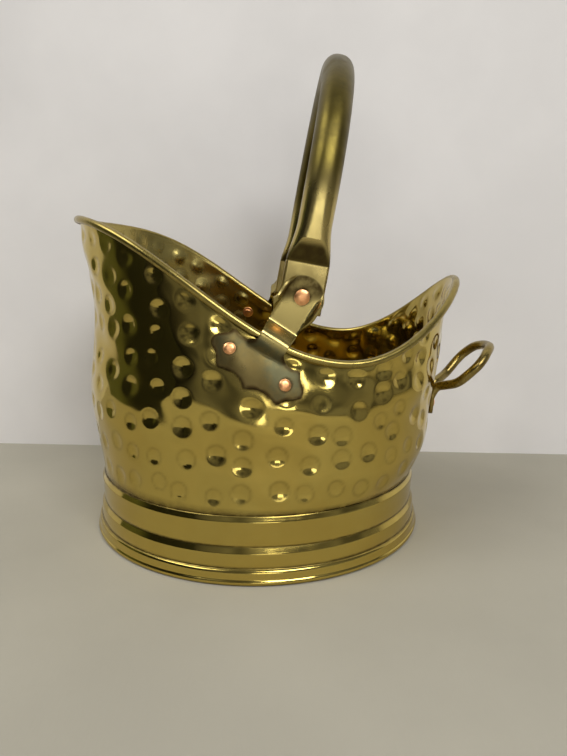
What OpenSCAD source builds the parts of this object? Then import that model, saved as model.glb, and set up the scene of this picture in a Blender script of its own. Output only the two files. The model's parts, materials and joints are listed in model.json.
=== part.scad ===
// Hammered brass coal scuttle: an oval helmet-mouthed bucket on a round stepped plinth,
// with a swinging bail between two riveted ears and a fixed rear handle.
// Millimetres, Z up. The origin is the centre of the foot ring on the floor, the pouring lip
// points to -X and the rear handle to +X. "Near" pieces lie on the -Y side.

/* [Body] */
// Radius of the body sheet where the plinth takes it
body_r = 123; // [121:0.5:125]
// Thickness of the brass sheet
sheet = 1.2; // [0.9:0.1:1.5]
// Reach of the pouring lip in front of the foot's centre
spout_reach = 134; // [128:1:140]
// Height of the pouring lip
spout_h = 234; // [224:1:242]
// Reach of the rear lip behind the foot's centre
rear_reach = 152; // [147:1:157]
// Height of the rear lip
rear_h = 193.5; // [186:0.5:200]
// Height of the rim at its lowest place
low_h = 140.5; // [136:0.5:144]
// Place of the lowest rim behind the foot's centre
low_x = 69.5; // [64:0.5:75]
// Half width of the mouth
mouth_half_w = 107.8; // [105.8:0.2:109]
// How broad and blunt the pouring lip is
spout_breadth = 141.5; // [132:0.5:150]
// How broad the rear lip is
rear_breadth = 112; // [104:1:118]
// Radius of the wire inside the rolled rim
rim_wire_r = 1.4; // [1:0.1:1.6]

/* [Plinth] */
// Height of the plinth's top edge
plinth_h = 45.4; // [43:0.2:48]
// How far the foot ring stands out beyond the body
foot_flare = 7; // [6:0.2:10]
// Radius of the wire inside the rolled foot
foot_wire_r = 1.1; // [0.8:0.1:1.3]
// Height of the bucket's floor
floor_h = 26; // [22:0.5:34]

/* [Bail] */
// Distance of each bail leg from the middle
bail_half_w = 96.5; // [94.5:0.5:97.5]
// Height of the bail's centre line above its pivots
bail_rise = 160.5; // [150:0.5:175]
// Radius of the bail's tube
bail_r = 10.8; // [9:0.1:12]
// Wall of the bail's tube
bail_wall = 1.3; // [1:0.1:1.8]
// Half width of a flattened end
bail_end_half_w = 13.4; // [12:0.1:14.5]
// Half thickness of a flattened end
bail_end_half_t = 3.3; // [2.6:0.1:3.8]
// Length of a flattened end above its pivot
bail_end_above = 21.8; // [18:0.1:25]
// Length of a flattened end below its pivot
bail_end_below = 9.9; // [8:0.1:11]
// Length over which the tube rounds out above a flattened end
bail_blend = 25; // [18:1:32]
// Lean of the standing bail towards the rear
bail_lean = 9.9; // [0:0.1:12]
// Turn of the hinge line out of square, as the ears are set
bail_skew = 3.8; // [0:0.1:4.2]
// Place of the hinge line behind the foot's centre
pivot_x = 28.8; // [26:0.1:33]
// Height of the hinge line
pivot_z = 183; // [180:0.5:186]

/* [Ears] */
// Thickness of an ear's plate
ear_t = 1.8; // [1.4:0.1:2.2]
// Radius of an ear's round end
ear_r = 13.3; // [12.3:0.1:14.5]
// Half width of an ear's neck
ear_neck = 9.8; // [8.5:0.1:10.5]
// Lean of an ear's neck towards the rear
ear_lean = 33; // [30:0.5:36]
// Distance from the rim's middle down to the middle of the riveted plate
plate_below = 17.5; // [16:0.5:19]
// Distance between the two rivets of an ear
ear_rivet_pitch = 41.5; // [38:0.5:43]

/* [Rear handle] */
// Radius of the handle's rod
rod_r = 3; // [2.5:0.1:3.4]
// Half width of the flattened tabs
tab_half_w = 5; // [4.2:0.1:5.6]
// Half thickness of the flattened tabs
tab_half_t = 1.5; // [1.2:0.1:1.8]
// Distance of each tab from the middle
tab_y = 8; // [7:0.5:10]
// Height of the tabs' lower ends
tab_z = 87; // [84:0.5:90]
// Height at which the rod leaves the body
rod_z = 109.8; // [106:0.2:113]
// Half width of the handle's loop
loop_half_w = 27; // [23:0.5:31]
// Reach of the loop out from the body
loop_reach = 45; // [41:0.5:49]
// Rise of the loop above the place where it leaves the body
loop_rise = 31.4; // [26:0.2:36]

/* [Rivets] */
// Radius of an ear or tab rivet's shank
rivet_r = 2.4; // [2:0.1:2.6]
// Radius of an ear or tab rivet's head
rivet_head_r = 4.2; // [3.7:0.1:4.8]
// Height of a rivet's head
rivet_head_h = 1.1; // [0.8:0.1:1.8]
// Radius of a pivot rivet's shank
pivot_r = 2.9; // [2.4:0.1:3.2]
// Radius of a pivot rivet's head
pivot_head_r = 4.9; // [4.3:0.1:5.5]
// Radius of the copper burr under a rivet's tail
burr_r = 5; // [4.6:0.1:5.6]
// Thickness of the copper burrs
burr_t = 0.9; // [0.6:0.1:1.4]

/* [Hidden] */

BRASS = "#b99a3e";
COPPER = "#c7795a";
STEEL = "#7d7f82";

NEAR = -1;
FAR = 1;

// clearances
fit = 0.05;         // radial play of a wire in its roll and of a rivet in its hole
running = 0.08;     // radial play of a bail end on its pivot rivet
side_play = 0.3;    // play on each side of a bail end
seat = 0.12;        // gap under a flat head or plate on a curved sheet
tab_seat = 0.4;     // gap under a handle tab, which is straighter than the wall behind it

// steps round the rim, shares of the wall's height, and steps round the rolled edge, which the
// wire shares so that its flats lie along those of the roll
around = 90;
shares = [for (i = [0:6]) i / 10, 0.65, 0.7, 0.75, 0.8, 0.85, 0.9, 0.95];
roll_sides = 10;
roll_steps = 8;
roll_end = 180 - roll_steps * 360 / roll_sides;

function unit(v) = v / norm(v);
function clamp(v, limit) = max(-limit, min(limit, v));

// ---- the oval, swept mouth ------------------------------------------------------------------

// The middle of the mouth lies a little behind the foot's centre.
mouth_x = (rear_reach - spout_reach) / 2;
mouth_half_l = (rear_reach + spout_reach) / 2;
mouth_even = (spout_breadth + rear_breadth) / 2 - mouth_half_w;
mouth_odd = (spout_breadth - rear_breadth) / 2;

// An egg: a circle's sine, broadened towards the pouring lip.
function rim_x(a) = mouth_x + mouth_half_l * cos(a);
function rim_y(a) = sin(a) * (mouth_half_w + mouth_even * pow(cos(a), 2) - mouth_odd * pow(cos(a), 3));

// Half a cosine wave from the low place up to the pouring lip, a parabola up to the rear lip.
function rim_z(x) = x < low_x
    ? low_h + (spout_h - low_h) * (1 - cos(180 * (low_x - x) / (low_x + spout_reach))) / 2
    : low_h + (rear_h - low_h) * pow((x - low_x) / (rear_reach - low_x), 2);

// Centre line of the rolled rim.
function rim(a) = [rim_x(a), rim_y(a), rim_z(rim_x(a))];
function rim_tangent(a) = unit(rim(a + 0.5) - rim(a - 0.5));
function rim_out(a) = let (t = rim_tangent(a)) unit([t.y, -t.x, 0]);

roll_in = rim_wire_r + fit;
roll_out = roll_in + sheet;

// ---- the body's wall ------------------------------------------------------------------------

// The wall swells and waists by four sine waves of its height, given in millimetres.
wave_side = [5.1, -1.5, 0.1, 0.3];
wave_rear = [3.6, 3, 0.8, 1.3];
wave_spout = [0.7, 3.5, 0.5, -1.3];
function frontness(a) = cos(a) < 0 ? 1 - pow(sin(a), 4) : 0;
function rearness(a) = cos(a) > 0 ? 1 - pow(sin(a), 4) : 0;
function wave(a) =
    wave_side + (wave_rear - wave_side) * rearness(a) + (wave_spout - wave_side) * frontness(a);
function swell(a, s) =
    let (w = wave(a)) w[0] * sin(180 * s) + w[1] * sin(360 * s) + w[2] * sin(540 * s) + w[3] * sin(720 * s);

// Outward direction, turning from the round base to the oval rim.
function wall_out(a, s) = unit([cos(a), sin(a), 0] * (1 - s) + rim_out(a) * s);

// Outer face of the wall at angle a and share s of the height, moved out by off.
function wall(a, s, off = 0) =
    let (base = [body_r * cos(a), body_r * sin(a), plinth_h],
         edge = rim(a) - rim_out(a) * (roll_in + 0.12))
    base + (edge - base) * s + rim_out(a) * swell(a, s) + wall_out(a, s) * off;

function share_at(a, z) = (z - plinth_h) / (rim(a).z - plinth_h);
function wall_normal(a, s) =
    unit(cross(wall(a + 0.5, s) - wall(a - 0.5, s), wall(a, s + 0.01) - wall(a, s - 0.01)));

// Angle at which the wall passes through x at height z, found by halving between lo, where x
// is too small, and hi.
function wall_angle(x, z, lo, hi, n = 24) =
    let (mid = (lo + hi) / 2)
    n == 0 ? mid
    : wall(mid, share_at(mid, z)).x < x ? wall_angle(x, z, mid, hi, n - 1)
    : wall_angle(x, z, lo, mid, n - 1);

// ---- meshes from rings of points ------------------------------------------------------------

// Joins rings of equally many points, each counterclockwise about the way the run goes.
// A closed run also joins its last ring to its first. An open run is capped, across each
// end ring from point j to the point as far from its end.
module skin(rings, closed = false) {
    n = len(rings);
    k = len(rings[0]);
    runs = closed ? n : n - 1;
    sides = [for (i = [0:runs - 1], j = [0:k - 1])
        let (i2 = (i + 1) % n, j2 = (j + 1) % k)
        each [[i * k + j, i2 * k + j, i2 * k + j2], [i * k + j, i2 * k + j2, i * k + j2]]];
    strips = [for (j = [0:k / 2 - 2]) each [[j, j + 1, k - 2 - j], [j, k - 2 - j, k - 1 - j]]];
    far_end = (n - 1) * k;
    ends = concat(strips, [for (f = strips) [far_end + f[0], far_end + f[2], far_end + f[1]]]);
    polyhedron(points = [for (r = rings) each r], faces = closed ? sides : concat(sides, ends));
}

// An oval ring about p in the plane of w and v, cut flat at flat on both sides of w.
function ring(p, w, v, half_w, half_t, flat, k) =
    [for (j = [0:k - 1]) p + w * half_w * cos(360 * j / k) + v * clamp(half_t * sin(360 * j / k), flat)];

// A smooth curve through points, with n steps between each two.
function curve_at(p0, p1, p2, p3, t) =
    0.5 * (2 * p1 + (p2 - p0) * t + (2 * p0 - 5 * p1 + 4 * p2 - p3) * t * t
           + (3 * p1 - p0 - 3 * p2 + p3) * t * t * t);
function curve(pts, n) =
    let (m = len(pts))
    [for (i = [0:m - 2], j = [0:n - 1])
        curve_at(pts[max(0, i - 1)], pts[i], pts[i + 1], pts[min(m - 1, i + 2)], j / n),
     pts[m - 1]];

// Turns the Z axis to a direction.
module face(dir) rotate([0, acos(dir.z), atan2(dir.y, dir.x)]) children();

// ---- body -----------------------------------------------------------------------------------

skirt_z = 17;

// One cut through the body sheet: up the inside, round the wire and down the outside.
function roll_ring(a, r, from, to) =
    let (o = rim_out(a), b = cross(o, rim_tangent(a)))
    [for (i = [0:roll_steps])
        let (q = from + (to - from) * i / roll_steps)
        rim(a) + (o * cos(q) + b * sin(q)) * r];
function sheet_cut(a) = concat(
    [[(body_r - sheet) * cos(a), (body_r - sheet) * sin(a), skirt_z]],
    [for (s = shares) wall(a, s, -sheet)],
    roll_ring(a, roll_out, 180, roll_end),
    roll_ring(a, roll_in, roll_end, 180),
    [for (i = [len(shares) - 1:-1:0]) wall(a, shares[i])],
    [[body_r * cos(a), body_r * sin(a), skirt_z]]);

module body_shell() {
    color(BRASS)
    difference() {
        skin([for (i = [0:around - 1]) sheet_cut(360 * i / around)], closed = true);
        for (side = [NEAR, FAR])
            at_ear_rivets(side) rivet_hole();
        at_tab_rivets() rivet_hole();
    }
}

module rim_wire() {
    color(STEEL)
    skin([for (i = [0:around - 1])
        let (a = 360 * i / around, o = rim_out(a), b = cross(o, rim_tangent(a)))
        ring(rim(a), o, -b, rim_wire_r, rim_wire_r, rim_wire_r, roll_sides)], closed = true);
}

// The bucket's floor is a pan pushed into the skirt, with its edge turned down.
module floor_pan() {
    pan_r = (body_r - sheet) * cos(180 / around) - fit;
    color(BRASS)
    rotate_extrude($fn = 120)
        polygon([[0, floor_h - sheet], [pan_r - sheet, floor_h - sheet], [pan_r - sheet, skirt_z],
                 [pan_r, skirt_z], [pan_r, floor_h], [0, floor_h]]);
}

// ---- plinth ---------------------------------------------------------------------------------

foot_in = foot_wire_r + fit;
foot_out = foot_in + sheet;
foot_sink = 0.15;       // how far the roll is worn flat on the floor
foot_r = body_r + foot_flare;
foot_c = [foot_r - foot_out, foot_out - foot_sink];

// The plinth's outer face from its top edge down to the foot, as steps out from the body.
flange = foot_flare - 1.2;
plinth_face = [
    [0.5, plinth_h], [0.8, plinth_h - 1.4], [1.35, plinth_h - 3.4], [1.5, plinth_h - 4.6],
    [1.65, plinth_h - 10], [1.75, plinth_h - 16], [1.6, plinth_h - 19.6], [1.35, plinth_h - 20.9],
    [1.45, plinth_h - 21.7], [2.3, plinth_h - 22.5], [3.1, plinth_h - 24.8], [3.5, plinth_h - 27.2],
    [3.7, 14], [3.6, 11.8], [3.8, 10.6], [flange - 1.1, 10], [flange - 0.5, 9.1], [flange - 0.2, 8],
    [flange, 6.6]];

// Shifts each point of a path by t to the right of its run.
function beside(path, t) =
    let (m = len(path))
    [for (i = [0:m - 1])
        let (d = unit(path[min(m - 1, i + 1)] - path[max(0, i - 1)])) path[i] + [d.y, -d.x] * t];
function foot_arc(r, from, to, n) =
    [for (i = [0:n])
        let (q = from + (to - from) * i / n)
        [foot_c.x + r * cos(q), max(0, foot_c.y + r * sin(q))]];

module plinth() {
    outer = concat([for (p = plinth_face) [body_r + p.x, p.y]], foot_arc(foot_out, 50, -150, 12));
    inner = concat(
        [[body_r + fit, plinth_h], [body_r + fit, plinth_h - 3.5]],
        [for (p = beside(plinth_face, sheet)) if (p.y < plinth_h - 5) [body_r + p.x, p.y]],
        foot_arc(foot_in, 50, -150, 10));
    color(BRASS)
    rotate_extrude($fn = 120)
        polygon(concat(outer, [for (i = [len(inner) - 1:-1:0]) inner[i]]));
}

module foot_wire() {
    color(STEEL)
    rotate_extrude($fn = 120)
        translate(foot_c) circle(r = foot_wire_r, $fn = 24);
}

// ---- rivets ---------------------------------------------------------------------------------

// A domed head whose flat side is at z = 0.
module head(r, h) {
    dome_r = (r * r + h * h) / (2 * h);
    rotate_extrude($fn = 48)
        polygon(concat([[0, 0]], [for (i = [0:6])
            let (q = asin(r / dome_r) * (1 - i / 6))
            [dome_r * sin(q), dome_r * cos(q) - dome_r + h]]));
}

// A set rivet along Z through a stack that reaches from low to high, with its burr at low.
module rivet(shank_r, head_r, head_h, low, high) {
    tail = low - burr_t;
    translate([0, 0, tail - 0.4])
        cylinder(r = shank_r, h = high - tail + 0.5, $fn = 48);
    translate([0, 0, high])
        head(head_r, head_h);
    translate([0, 0, tail])
        mirror([0, 0, 1])
            head(shank_r + 1, 0.9);
}

module burr(shank_r, low) {
    translate([0, 0, low - burr_t])
        difference() {
            cylinder(r = burr_r, h = burr_t, $fn = 48);
            translate([0, 0, -1])
                cylinder(r = shank_r + fit, h = burr_t + 2, $fn = 48);
        }
}

module rivet_hole() {
    translate([0, 0, -12])
        cylinder(r = rivet_r + fit, h = 24, $fn = 48);
}

sheet_low = -sheet - 0.2;               // where a burr lies under the curved sheet
module plate_rivet(stack) rivet(rivet_r, rivet_head_r, rivet_head_h, sheet_low, stack + seat);

// Puts children on the wall at row position x and height z, with Z along the wall's normal.
module on_wall(x, z, lo, hi) {
    a = wall_angle(x, z, lo, hi);
    s = share_at(a, z);
    translate(wall(a, s))
        face(wall_normal(a, s))
            children();
}

// ---- ears -----------------------------------------------------------------------------------

module hinge_frame() {
    translate([pivot_x, 0, pivot_z])
        rotate([0, 0, bail_skew])
            children();
}

// A point of the row in the hinge frame, and back again.
function to_hinge(p) = let (q = p - [pivot_x, 0, pivot_z])
    [q.x * cos(bail_skew) + q.y * sin(bail_skew), q.y * cos(bail_skew) - q.x * sin(bail_skew), q.z];
function from_hinge(q) =
    [pivot_x + q.x * cos(bail_skew) - q.y * sin(bail_skew),
     q.x * sin(bail_skew) + q.y * cos(bail_skew), pivot_z + q.z];

// Across and along the ear's leaning neck, from the pivot.
function ear_across(p) = let (q = to_hinge(p)) q.x * cos(ear_lean) - q.z * sin(ear_lean);
function ear_along(p) = let (q = to_hinge(p)) q.x * sin(ear_lean) + q.z * cos(ear_lean);

// Angle at which the rim passes under the neck's middle.
function crossing(side, lo, hi, n = 24) =
    let (mid = (lo + hi) / 2)
    n == 0 ? mid
    : (ear_across(rim(mid)) > 0) == (side == FAR) ? crossing(side, mid, hi, n - 1)
    : crossing(side, lo, mid, n - 1);
function ear_angle(side) = side == NEAR ? crossing(NEAR, 240, 300) : crossing(FAR, 60, 120);

ear_in = bail_half_w + bail_end_half_t + side_play;

// Right half of the scalloped plate from its neck down, across and along from the plate's middle.
scallops = [[13.7, 11], [18.7, 10.2], [24.2, 11.4], [26.8, 7.7], [32.2, 3.1], [33.3, -1], [29.8, -4.5],
            [25.7, -7.3], [21.7, -12.3], [17.2, -11.6], [11.8, -10.4], [5.8, -11.4], [0, -15.2]];
plate_right = curve(concat([[ear_neck, 20], [ear_neck, 15]], scallops), 3);
plate_outline = concat(
    plate_right,
    [for (i = [len(plate_right) - 2:-1:0]) [-plate_right[i].x, plate_right[i].y]]);

// Each ear is bent to suit the rim where it crosses it, so its drops count from the rim.
band_h = 7.7;           // height of the band that leans in from the rim to the round end
function rim_drop(side) = -ear_along(rim(ear_angle(side)));
function bend_low(side) = rim_drop(side) - roll_out - 0.3;
function bend_high(side) = bend_low(side) - band_h;
function plate_drop(side) = rim_drop(side) + plate_below;

// Side view of the neck: down from the pivot, out over the rolled rim and in to the wall.
function neck_path(side) =
    let (a = ear_angle(side), u_rim = abs(to_hinge(rim(a)).y) + roll_out + 4 * seat,
         u_wall = abs(to_hinge(wall(a, 0.92)).y) + 1.4, foot = plate_drop(side) - 10)
    [[ear_in, ear_r], [ear_in, -bend_high(side)], [u_rim, -bend_low(side)],
     [u_rim, -rim_drop(side) - roll_out - 1], [u_wall, -foot], [u_wall, -foot - 1.5]];

module neck(side) {
    path = neck_path(side);
    outer = beside([for (i = [len(path) - 1:-1:0]) path[i]], ear_t);
    rotate([90, 0, 90])
        linear_extrude(height = 80, center = true)
            polygon([for (p = concat(path, outer)) [side * p.x, p.y]]);
}

module ear_front(side) {
    right = [[ear_r, 0], [ear_r - 0.4, -8], [ear_neck + 0.3, -bend_high(side)],
             [ear_neck, -bend_low(side)], [ear_neck, 6 - plate_drop(side)]];
    circle(r = ear_r, $fn = 72);
    polygon(concat(right, [for (i = [len(right) - 1:-1:0]) [-right[i].x, right[i].y]]));
}

// A patch of plate that lies on the wall's outer face between two angles, from share first up.
module wall_patch(a0, a1, first) {
    step = 360 / around;
    last = len(shares) - 1;
    skin([for (i = [floor(a0 / step):ceil(a1 / step)])
        let (a = i * step)
        concat([for (j = [first:last]) wall(a, shares[j], seat)],
               [for (j = [last:-1:first]) wall(a, shares[j], seat + ear_t)])]);
}

module ear(side) {
    a = ear_angle(side);
    difference() {
        union() {
            hinge_frame() rotate([0, ear_lean, 0])
                intersection() {
                    neck(side);
                    rotate([90, 0, 0])
                        linear_extrude(height = 400, center = true)
                            ear_front(side);
                }
            intersection() {
                wall_patch(side == NEAR ? a - 20 : a - 14, side == NEAR ? a + 14 : a + 20, 3);
                hinge_frame() rotate([0, ear_lean, 0])
                    translate([0, side * 100, -plate_drop(side)])
                        rotate([90, 0, 0])
                            linear_extrude(height = 100, center = true)
                                polygon(plate_outline);
            }
        }
        hinge_frame()
            rotate([90, 0, 0])
                cylinder(r = pivot_r + fit, h = 400, center = true, $fn = 48);
        at_ear_rivets(side) rivet_hole();
    }
}

// Where an ear's rivets pass through the wall, as row positions.
function ear_rivet(side, k) =
    let (q = [k * ear_rivet_pitch / 2, 0, -plate_drop(side)])
    from_hinge([q.x * cos(ear_lean) + q.z * sin(ear_lean), side * mouth_half_w,
                q.z * cos(ear_lean) - q.x * sin(ear_lean)]);

module at_ear_rivets(side) {
    for (k = [-1, 1]) {
        p = ear_rivet(side, k);
        if (side == NEAR) on_wall(p.x, p.z, 180, 360) children();
        else on_wall(p.x, p.z, 180, 0) children();
    }
}

module near_ear() color(BRASS) ear(NEAR);
module far_ear() color(BRASS) ear(FAR);
module near_ear_rivets() color(COPPER) at_ear_rivets(NEAR) plate_rivet(ear_t + seat);
module far_ear_rivets() color(COPPER) at_ear_rivets(FAR) plate_rivet(ear_t + seat);
module near_ear_burrs() color(COPPER) at_ear_rivets(NEAR) burr(rivet_r, sheet_low);
module far_ear_burrs() color(COPPER) at_ear_rivets(FAR) burr(rivet_r, sheet_low);

// ---- bail -----------------------------------------------------------------------------------

leg = bail_rise - bail_half_w;
arch_steps = 30;

// Heights of the rings up one leg, from the open end to where the arch starts.
leg_heights = [-bail_end_below, bail_end_above, for (i = [1:5]) bail_end_above + bail_blend * i / 5];

// Position and run of the centre line in the bail's own plane.
function leg_station(side, h) = [[0, side * bail_half_w, h], [0, 0, -side], h];
function arch_station(q) =
    [[0, -bail_half_w * cos(q), leg + bail_half_w * sin(q)], [0, sin(q), cos(q)], leg];
stations = concat(
    [for (h = leg_heights) leg_station(NEAR, h)],
    [for (i = [0:arch_steps]) arch_station(180 * i / arch_steps)],
    [for (i = [len(leg_heights) - 1:-1:0]) leg_station(FAR, leg_heights[i])]);

// The tube's round section is pressed flat at its ends, and spreads as it flattens.
function pressed(h) = clamp((h - bail_end_above) / bail_blend, 1);
function roundness(h) = max(0, pressed(h));
function tube_ring(st, inset) =
    let (f = roundness(st[2]),
         half_w = bail_end_half_w + (bail_r - bail_end_half_w) * f,
         flat = bail_end_half_t + (bail_r - bail_end_half_t) * f)
    ring(st[0], [1, 0, 0], cross(st[1], [1, 0, 0]), half_w - inset, bail_r - inset, flat - inset, 16);

module bail() {
    n = len(stations);
    color(BRASS)
    hinge_frame()
        difference() {
            rotate([0, bail_lean, 0])
                skin(concat(
                    [for (i = [0:n - 1]) tube_ring(stations[i], 0)],
                    [for (i = [n - 1:-1:0]) tube_ring(stations[i], bail_wall)]), closed = true);
            rotate([90, 0, 0])
                cylinder(r = pivot_r + running, h = 400, center = true, $fn = 48);
        }
}

// A pivot rivet lies along the hinge line: head on the ear, burr behind the bail's end.
module at_pivot(side) {
    hinge_frame()
        rotate([-90 * side, 0, 0])
            children();
}
pivot_low = bail_half_w - bail_end_half_t - side_play;

module pivot_rivet(side) at_pivot(side) rivet(pivot_r, pivot_head_r, 1.4, pivot_low, ear_in + ear_t);
module near_pivot_rivet() color(COPPER) pivot_rivet(NEAR);
module far_pivot_rivet() color(COPPER) pivot_rivet(FAR);
module near_pivot_burr() color(COPPER) at_pivot(NEAR) burr(pivot_r, pivot_low);
module far_pivot_burr() color(COPPER) at_pivot(FAR) burr(pivot_r, pivot_low);

// ---- rear handle ----------------------------------------------------------------------------

tab_rivet_z = tab_z + 9;
tab_angle = atan2(tab_y, body_r + 16);
function tab_point(z, off) =
    let (s = share_at(tab_angle, z)) wall(tab_angle, s) + wall_normal(tab_angle, s) * off;
tab_off = tab_half_t + tab_seat;
rod_x = tab_point(rod_z, 0).x;

// The rod from the near tab round to the loop's outer end, as x, y and z.
loop_shares = [[0.224, 0.5, 0.04], [0.4, 0.81, 0.175], [0.636, 1, 0.54], [0.773, 0.91, 0.755],
               [0.88, 0.66, 0.917], [0.97, 0.33, 0.99], [1, 0, 1]];
near_rod = concat(
    [for (z = [tab_z, tab_rivet_z, rod_z - 10]) let (p = tab_point(z, tab_off)) [p.x, -p.y, p.z]],
    [[rod_x + 2.2, -tab_y, rod_z - 4], [rod_x + 5.5, -tab_y - 1, rod_z - 0.6]],
    [for (p = loop_shares)
        [rod_x + loop_reach * p[0], -loop_half_w * p[1], rod_z + loop_rise * p[2]]]);
rod_path = curve(concat(
    near_rod,
    [for (i = [len(near_rod) - 2:-1:0]) let (p = near_rod[i]) [p.x, -p.y, p.z]]), 3);

// The rod's own sideways direction is steered by the loop's plane, and on the tabs by the wall.
loop_normal = unit([-loop_rise, 0, loop_reach]);
tab_normal = wall_normal(tab_angle, share_at(tab_angle, tab_rivet_z));
function steer(p, f) = loop_normal * f - [tab_normal.x, sign(p.y) * tab_normal.y, 0] * (1 - f);

// 0 on the flat tabs, 1 on the round rod.
function rod_roundness(p) = p.x > rod_x + 5 ? 1 : max(0, min(1, (p.z - (rod_z - 10)) / 8));
function rod_ring(i) =
    let (m = len(rod_path), p = rod_path[i], f = rod_roundness(p),
         d = unit(rod_path[min(m - 1, i + 1)] - rod_path[max(0, i - 1)]),
         w = unit(cross(d, steer(p, f))),
         half_w = tab_half_w + (rod_r - tab_half_w) * f,
         flat = tab_half_t + (rod_r - tab_half_t) * f)
    ring(p, w, cross(d, w), half_w, rod_r, flat, 12);

module at_tab_rivets() {
    for (side = [NEAR, FAR])
        mirror([0, side == NEAR ? 1 : 0, 0])
            translate(tab_point(tab_rivet_z, 0))
                face(wall_normal(tab_angle, share_at(tab_angle, tab_rivet_z)))
                    children();
}

module rear_handle() {
    color(BRASS)
    difference() {
        skin([for (i = [0:len(rod_path) - 1]) rod_ring(i)]);
        at_tab_rivets() rivet_hole();
    }
}
module rear_handle_rivets() color(COPPER) at_tab_rivets() plate_rivet(2 * tab_half_t + tab_seat + seat);
module rear_handle_burrs() color(COPPER) at_tab_rivets() burr(rivet_r, sheet_low);

body_shell();
rim_wire();
floor_pan();
plinth();
foot_wire();
near_ear();
far_ear();
near_ear_rivets();
far_ear_rivets();
near_ear_burrs();
far_ear_burrs();
bail();
near_pivot_rivet();
far_pivot_rivet();
near_pivot_burr();
far_pivot_burr();
rear_handle();
rear_handle_rivets();
rear_handle_burrs();
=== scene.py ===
"""A hammered brass coal scuttle: its surfaces, finishes, stage and camera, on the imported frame.

Lengths are metres and angles radians. The foot ring stands on z = 0 round the origin, the
pouring lip points to -X and the rear handle to +X. "Near" pieces lie on the -Y side.
"""

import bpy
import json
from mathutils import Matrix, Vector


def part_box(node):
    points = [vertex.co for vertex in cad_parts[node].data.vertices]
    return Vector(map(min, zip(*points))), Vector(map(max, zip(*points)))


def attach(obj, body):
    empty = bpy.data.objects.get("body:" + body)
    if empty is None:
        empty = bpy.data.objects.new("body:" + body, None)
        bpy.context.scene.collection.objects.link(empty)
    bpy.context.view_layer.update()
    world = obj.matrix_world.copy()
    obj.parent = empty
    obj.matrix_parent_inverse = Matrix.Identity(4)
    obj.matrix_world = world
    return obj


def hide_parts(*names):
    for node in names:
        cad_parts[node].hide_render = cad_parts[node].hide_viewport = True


bl_info = {
    "name": "Hammered Coal Scuttle",
    "version": (1, 0, 0),
    "blender": (4, 5, 0),
    "location": "3D View > Sidebar > Scuttle",
    "description": "Makes the pieces, finishes and stage of a hammered brass coal scuttle",
    "category": "Add Mesh",
}

import json
import math

import bpy
import numpy as np
from bpy.props import FloatProperty, FloatVectorProperty, IntProperty, PointerProperty
from mathutils import Matrix

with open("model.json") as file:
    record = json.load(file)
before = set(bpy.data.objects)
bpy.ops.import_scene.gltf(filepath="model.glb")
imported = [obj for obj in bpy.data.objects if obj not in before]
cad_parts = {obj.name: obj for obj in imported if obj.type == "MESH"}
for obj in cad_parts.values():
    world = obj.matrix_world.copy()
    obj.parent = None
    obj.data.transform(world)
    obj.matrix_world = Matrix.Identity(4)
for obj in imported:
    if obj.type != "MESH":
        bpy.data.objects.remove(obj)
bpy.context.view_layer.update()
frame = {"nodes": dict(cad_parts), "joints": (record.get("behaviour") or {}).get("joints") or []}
PIVOT = np.array(frame["joints"][0]["pos_m"])
AXLE = np.array(frame["joints"][0]["axis"])
NEAR, FAR = -1, 1
MM = 0.001


# ---- sizes and colours that a user would change ---------------------------------------------


def length(name, default, description):
    """A length property in metres."""
    return FloatProperty(name=name, description=description, default=default, unit="LENGTH",
                         precision=5)


def share(name, default, description):
    """A property from 0 to 1."""
    return FloatProperty(name=name, description=description, default=default, min=0, max=1,
                         subtype="FACTOR")


def leaning(degrees, description):
    """An angle property, its default given in degrees."""
    return FloatProperty(name="Lean", description=description, default=math.radians(degrees),
                         subtype="ANGLE")


def colour(name, default, description):
    """A colour property in linear light."""
    return FloatVectorProperty(name=name, description=description, default=default, size=3,
                               min=0, max=1, subtype="COLOR")


class ScuttleBody(bpy.types.PropertyGroup):
    """Sizes of the hammered body and its rolled rim."""
    base_radius: length("Base radius", 0.123, "Radius of the sheet where the plinth takes it")
    base_height: length("Base height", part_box("plinth")[1].z, "Where the wall leaves the plinth")
    sheet: length("Sheet", 0.0012, "Thickness of the brass sheet")
    spout_reach: length("Lip reach", 0.134, "Reach of the lip in front of the foot's centre")
    spout_height: length("Lip height", 0.234, "Height of the pouring lip")
    rear_reach: length("Rear reach", 0.152, "Reach of the rear lip behind the foot's centre")
    rear_height: length("Rear height", 0.1935, "Height of the rear lip")
    low_height: length("Low height", 0.1405, "Height of the rim at its lowest place")
    low_place: length("Low place", 0.0695, "Place of the lowest rim behind the foot's centre")
    mouth_half: length("Mouth half width", 0.1078, "Half width of the mouth")
    spout_breadth: length("Lip breadth", 0.1415, "How broad and blunt the pouring lip is")
    rear_breadth: length("Rear breadth", 0.112, "How broad the rear lip is")
    wire_radius: length("Wire radius", 0.0014, "Radius of the wire inside the rolled rim")
    skirt_height: length("Skirt height", 0.017, "Height of the sheet's hidden lower edge")


class ScuttleHammer(bpy.types.PropertyGroup):
    """The hammer's marks in the body."""
    radius: length("Mark radius", 0.0063, "Radius of one hammer mark")
    deep: length("Upper depth", 0.00125, "Depth of the marks near the rim")
    shallow: length("Lower depth", 0.00112, "Depth of the marks near the plinth")
    first_row: length("First row", 0.0142, "Height of the lowest marks above the plinth")
    pitch: length("Row pitch", 0.0186, "Height from one row of marks to the next")
    columns: IntProperty(name="Columns", description="Marks in one row", default=39, min=12)
    stray: length("Stray", 0.0022, "How far a mark strays from its place")
    apart: length("Apart", 0.0155, "Distance below which marks push each other off")
    drag: share("Drag", 0.25, "Share of a mark's depth by which the sheet round it is drawn in")
    sway: length("Sway", 0.0005, "Depth of the broad waves that the hammering leaves")
    rim_clear: length("Rim clearance", 0.0092, "Height from the highest marks to the rim")
    seed: IntProperty(name="Seed", description="Picks another set of strays", default=7)


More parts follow.
